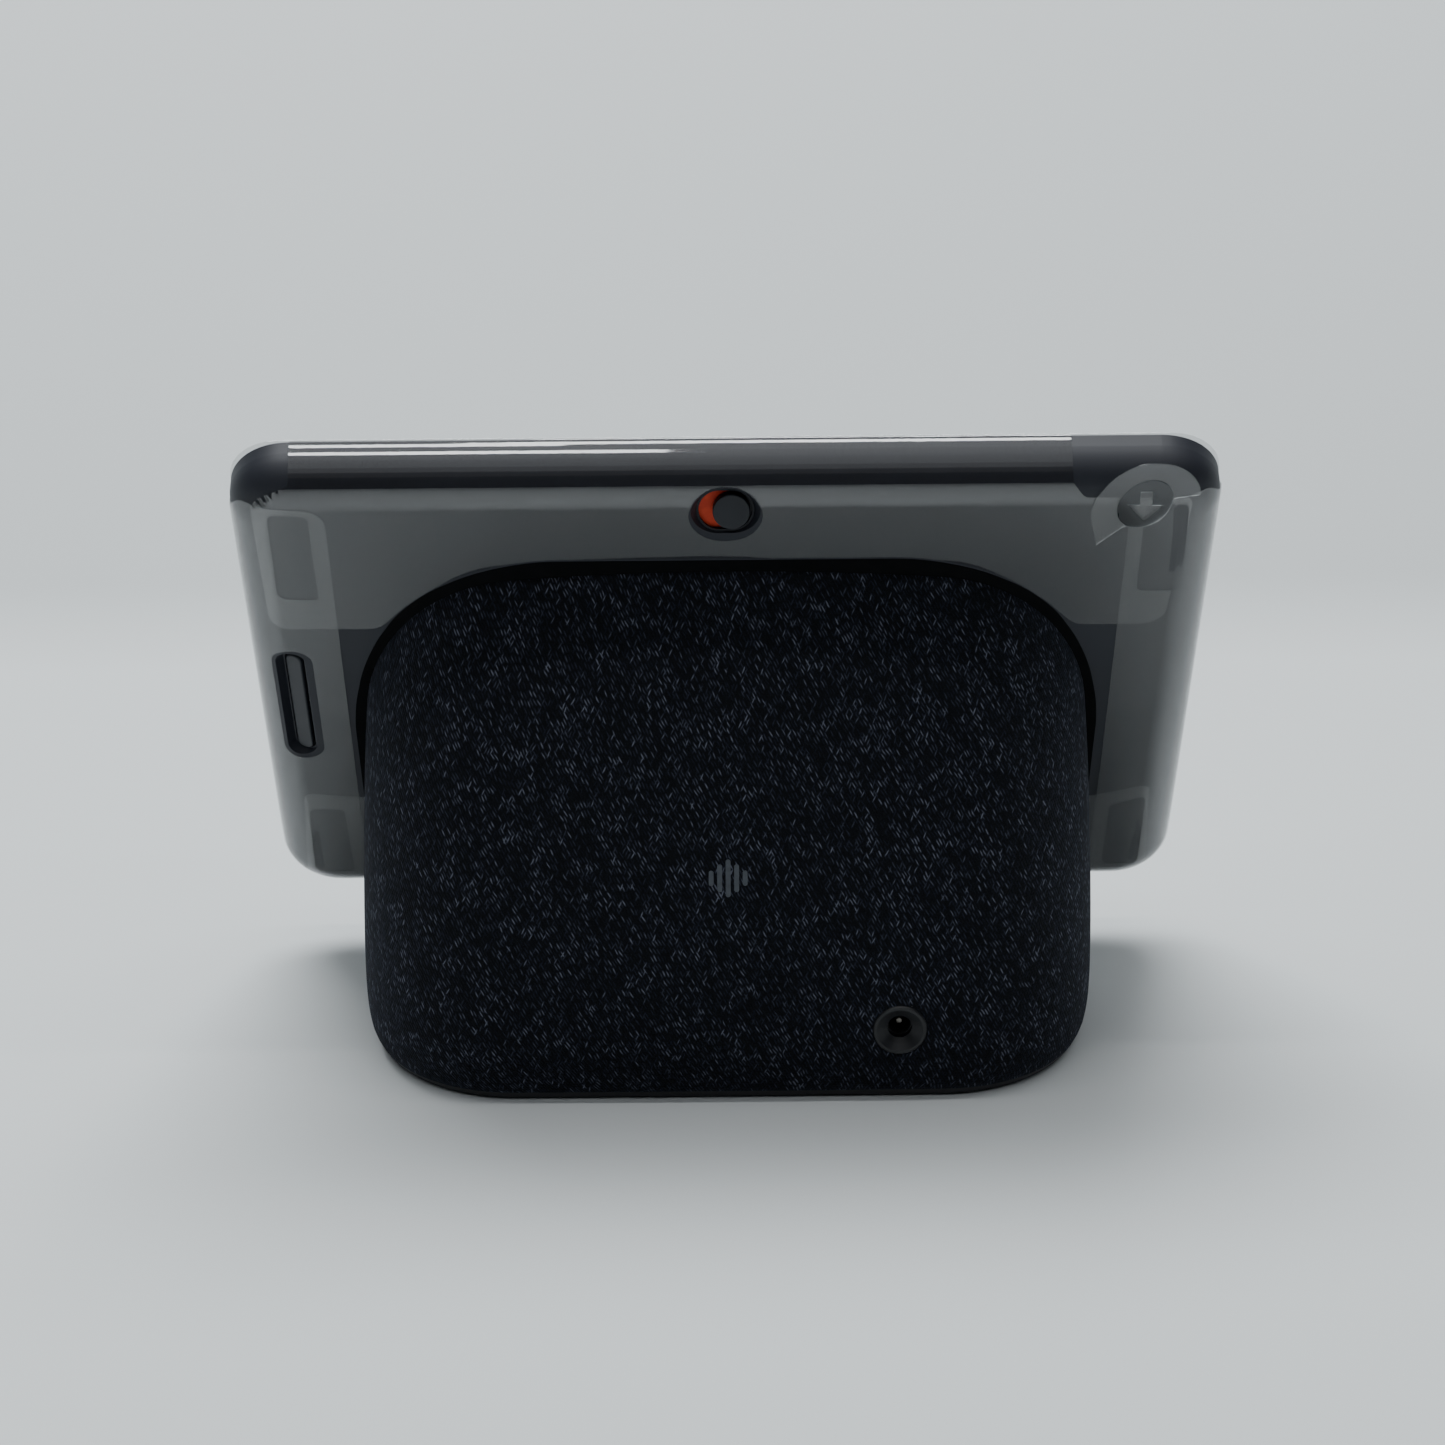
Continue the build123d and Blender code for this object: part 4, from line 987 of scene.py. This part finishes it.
# Tape pads: double-sided tape that fills the windows and joins the two layers.
for name, outline in (
    ("tape_pad_upper_left", WINDOW_UPPER_LEFT), ("tape_pad_upper_right", WINDOW_UPPER_RIGHT),
    ("tape_pad_lower_left", WINDOW_LOWER_LEFT), ("tape_pad_lower_right", WINDOW_LOWER_RIGHT),
):
    film_piece(
        name, outline, FILM_GAP, thick=UPPER_GAP - FILM_GAP + FILM_THICK,
        bends_u=[s * u for s in (-1, 1) for u in BENDS_U if u < 118], bends_v=LOW_BENDS_V[:2],
    )
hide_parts("film_adhesive_pads")

# Pull tab: a stiffer round tongue stuck over the right flap's corner. It keeps nearly flat where
# the head rounds off, and a smoky oval is printed on it round a clear arrow.
TAB_GAP = 0.42
TAB_BACK = HEAD_DEPTH + TAB_GAP
OVAL_MIDDLE = (-104.8, 167.6)
OVAL_HALF = (6.7, 9.6)
OVAL_TURN = math.radians(18.4)
PRINT_THICK = 0.04


def tab_place(u, v, rise):
    """The tongue's surface: flat, drooping a little over the rounding, with a raised oval."""
    a, b = u - OVAL_MIDDLE[0], v - OVAL_MIDDLE[1]
    c = a * math.cos(OVAL_TURN) + b * math.sin(OVAL_TURN)
    d = b * math.cos(OVAL_TURN) - a * math.sin(OVAL_TURN)
    reach = math.hypot(c / OVAL_HALF[0], d / OVAL_HALF[1])
    dome = 0.5 * (1 - min(1.0, reach) ** 4)
    droop = 0.004 * max(0.0, v - 166.0) ** 2 + 0.012 * max(0.0, -u - 113.0) ** 2
    return on_head(u, v - 1.3 * droop, TAB_BACK + rise + dome - droop)


def tab_piece(name, corners, low, thick, material):
    """A sheet of the tongue's stack, from its outline and its height above the tongue's back."""
    tongue = cut_sheet(corners)
    crease(tongue, [-119.6 + 0.5 * k for k in range(58)], [151.4 + 0.5 * k for k in range(65)])
    thicken(tongue, thick)
    for point in tongue.verts:
        point.co = tab_place(point.co.x, point.co.y, low + point.co.z)
    bmesh.ops.recalc_face_normals(tongue, faces=tongue.faces)
    return new_piece(name, tongue, material, "housing")


pull_tab = tab_piece("film_pull_tab", (
    (-93.7, 151.6, 0), (-91.0, 163.7, 4), (-92.8, 172.0, 6), (-99.6, 181.4, 5),
    (-107.0, 183.6, 5), (-114.6, 180.6, 4), (-118.2, 174.2, 2), (-118.4, 170.8, 0.5),
    (-111.8, 169.6, 1), (-110.6, 162.4, 3), (-105.5, 158.0, 3), (-100.4, 159.2, 1),
), 0.0, FILM_THICK, clear_film)
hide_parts("film_pull_tab")

smoke_print = clear_film.copy()
smoke_print.name = "smoke_tinted_print"
for node in smoke_print.node_tree.nodes:
    if node.bl_idname == "ShaderNodeBsdfTransparent":
        node.inputs["Color"].default_value = linear("#C3C6C9")
oval = []
for step in range(32):
    c = OVAL_HALF[0] * 0.97 * math.cos(math.tau * step / 32)
    d = OVAL_HALF[1] * 0.97 * math.sin(math.tau * step / 32)
    oval.append((
        OVAL_MIDDLE[0] + c * math.cos(OVAL_TURN) - d * math.sin(OVAL_TURN),
        OVAL_MIDDLE[1] + c * math.sin(OVAL_TURN) + d * math.cos(OVAL_TURN), 0,
    ))
tab_print = tab_piece("tab_oval_print", oval, FILM_THICK + 0.01, PRINT_THICK, smoke_print)
cut_with(tab_print, through_head((
    (-103.3, 172.4, 0.4), (-103.3, 167.6, 0), (-100.3, 167.9, 0.4), (-104.9, 161.2, 0.5),
    (-109.5, 167.3, 0.4), (-106.5, 167.6, 0), (-106.5, 172.4, 0.4),
), low=10.0, high=20.0))


# ---------------------------------------------------------------- painted shade at the neck
# A near-black sheet, cut to the arch of the base and laid on the head, is painted shade for the
# shadowed seam between the two, where there is no real part. It shows as a dark line round
# the knit.
SHADE_SHEET_THICK = 0.14
SHADE_BAND_WIDTH = 7.0
# Painted shade: the sheet's near-black colour stands for the shadow in the seam.
neck_shade_black, tree, shader = finish("painted_neck_shade_black", "#050607", 0.95, Specular_IOR_Level=0.1)
mottle(tree, shader, "#040506", "#07080A", 5)
grain(tree, shader, 0.5, 0.05)
neck_shade_sheet = cut_sheet((
    (99.6, 30.0, 0), (99.4, 84.0, 8), (94.6, 108.0, 10), (82.6, 130.6, 10), (58.0, 146.4, 14),
    (-58.0, 146.4, 14), (-82.6, 130.6, 10), (-94.6, 108.0, 10), (-99.4, 84.0, 8),
    (-99.6, 30.0, 0),
))
bmesh.ops.inset_region(
    neck_shade_sheet, faces=neck_shade_sheet.faces[:], thickness=SHADE_BAND_WIDTH, use_even_offset=True, use_boundary=True,
)
unwanted = [max(neck_shade_sheet.faces, key=lambda face: face.calc_area())]
unwanted += [face for face in neck_shade_sheet.faces if max(point.co.y for point in face.verts) < 38.0]
bmesh.ops.delete(neck_shade_sheet, geom=unwanted, context="FACES")
thicken(neck_shade_sheet, SHADE_SHEET_THICK)
for point in neck_shade_sheet.verts:
    point.co = on_head(point.co.x, point.co.y, HEAD_DEPTH + 0.02 + point.co.z)
bmesh.ops.recalc_face_normals(neck_shade_sheet, faces=neck_shade_sheet.faces)
painted_neck_shade = new_piece("painted_neck_shade", neck_shade_sheet, neck_shade_black, "housing", smooth=False)
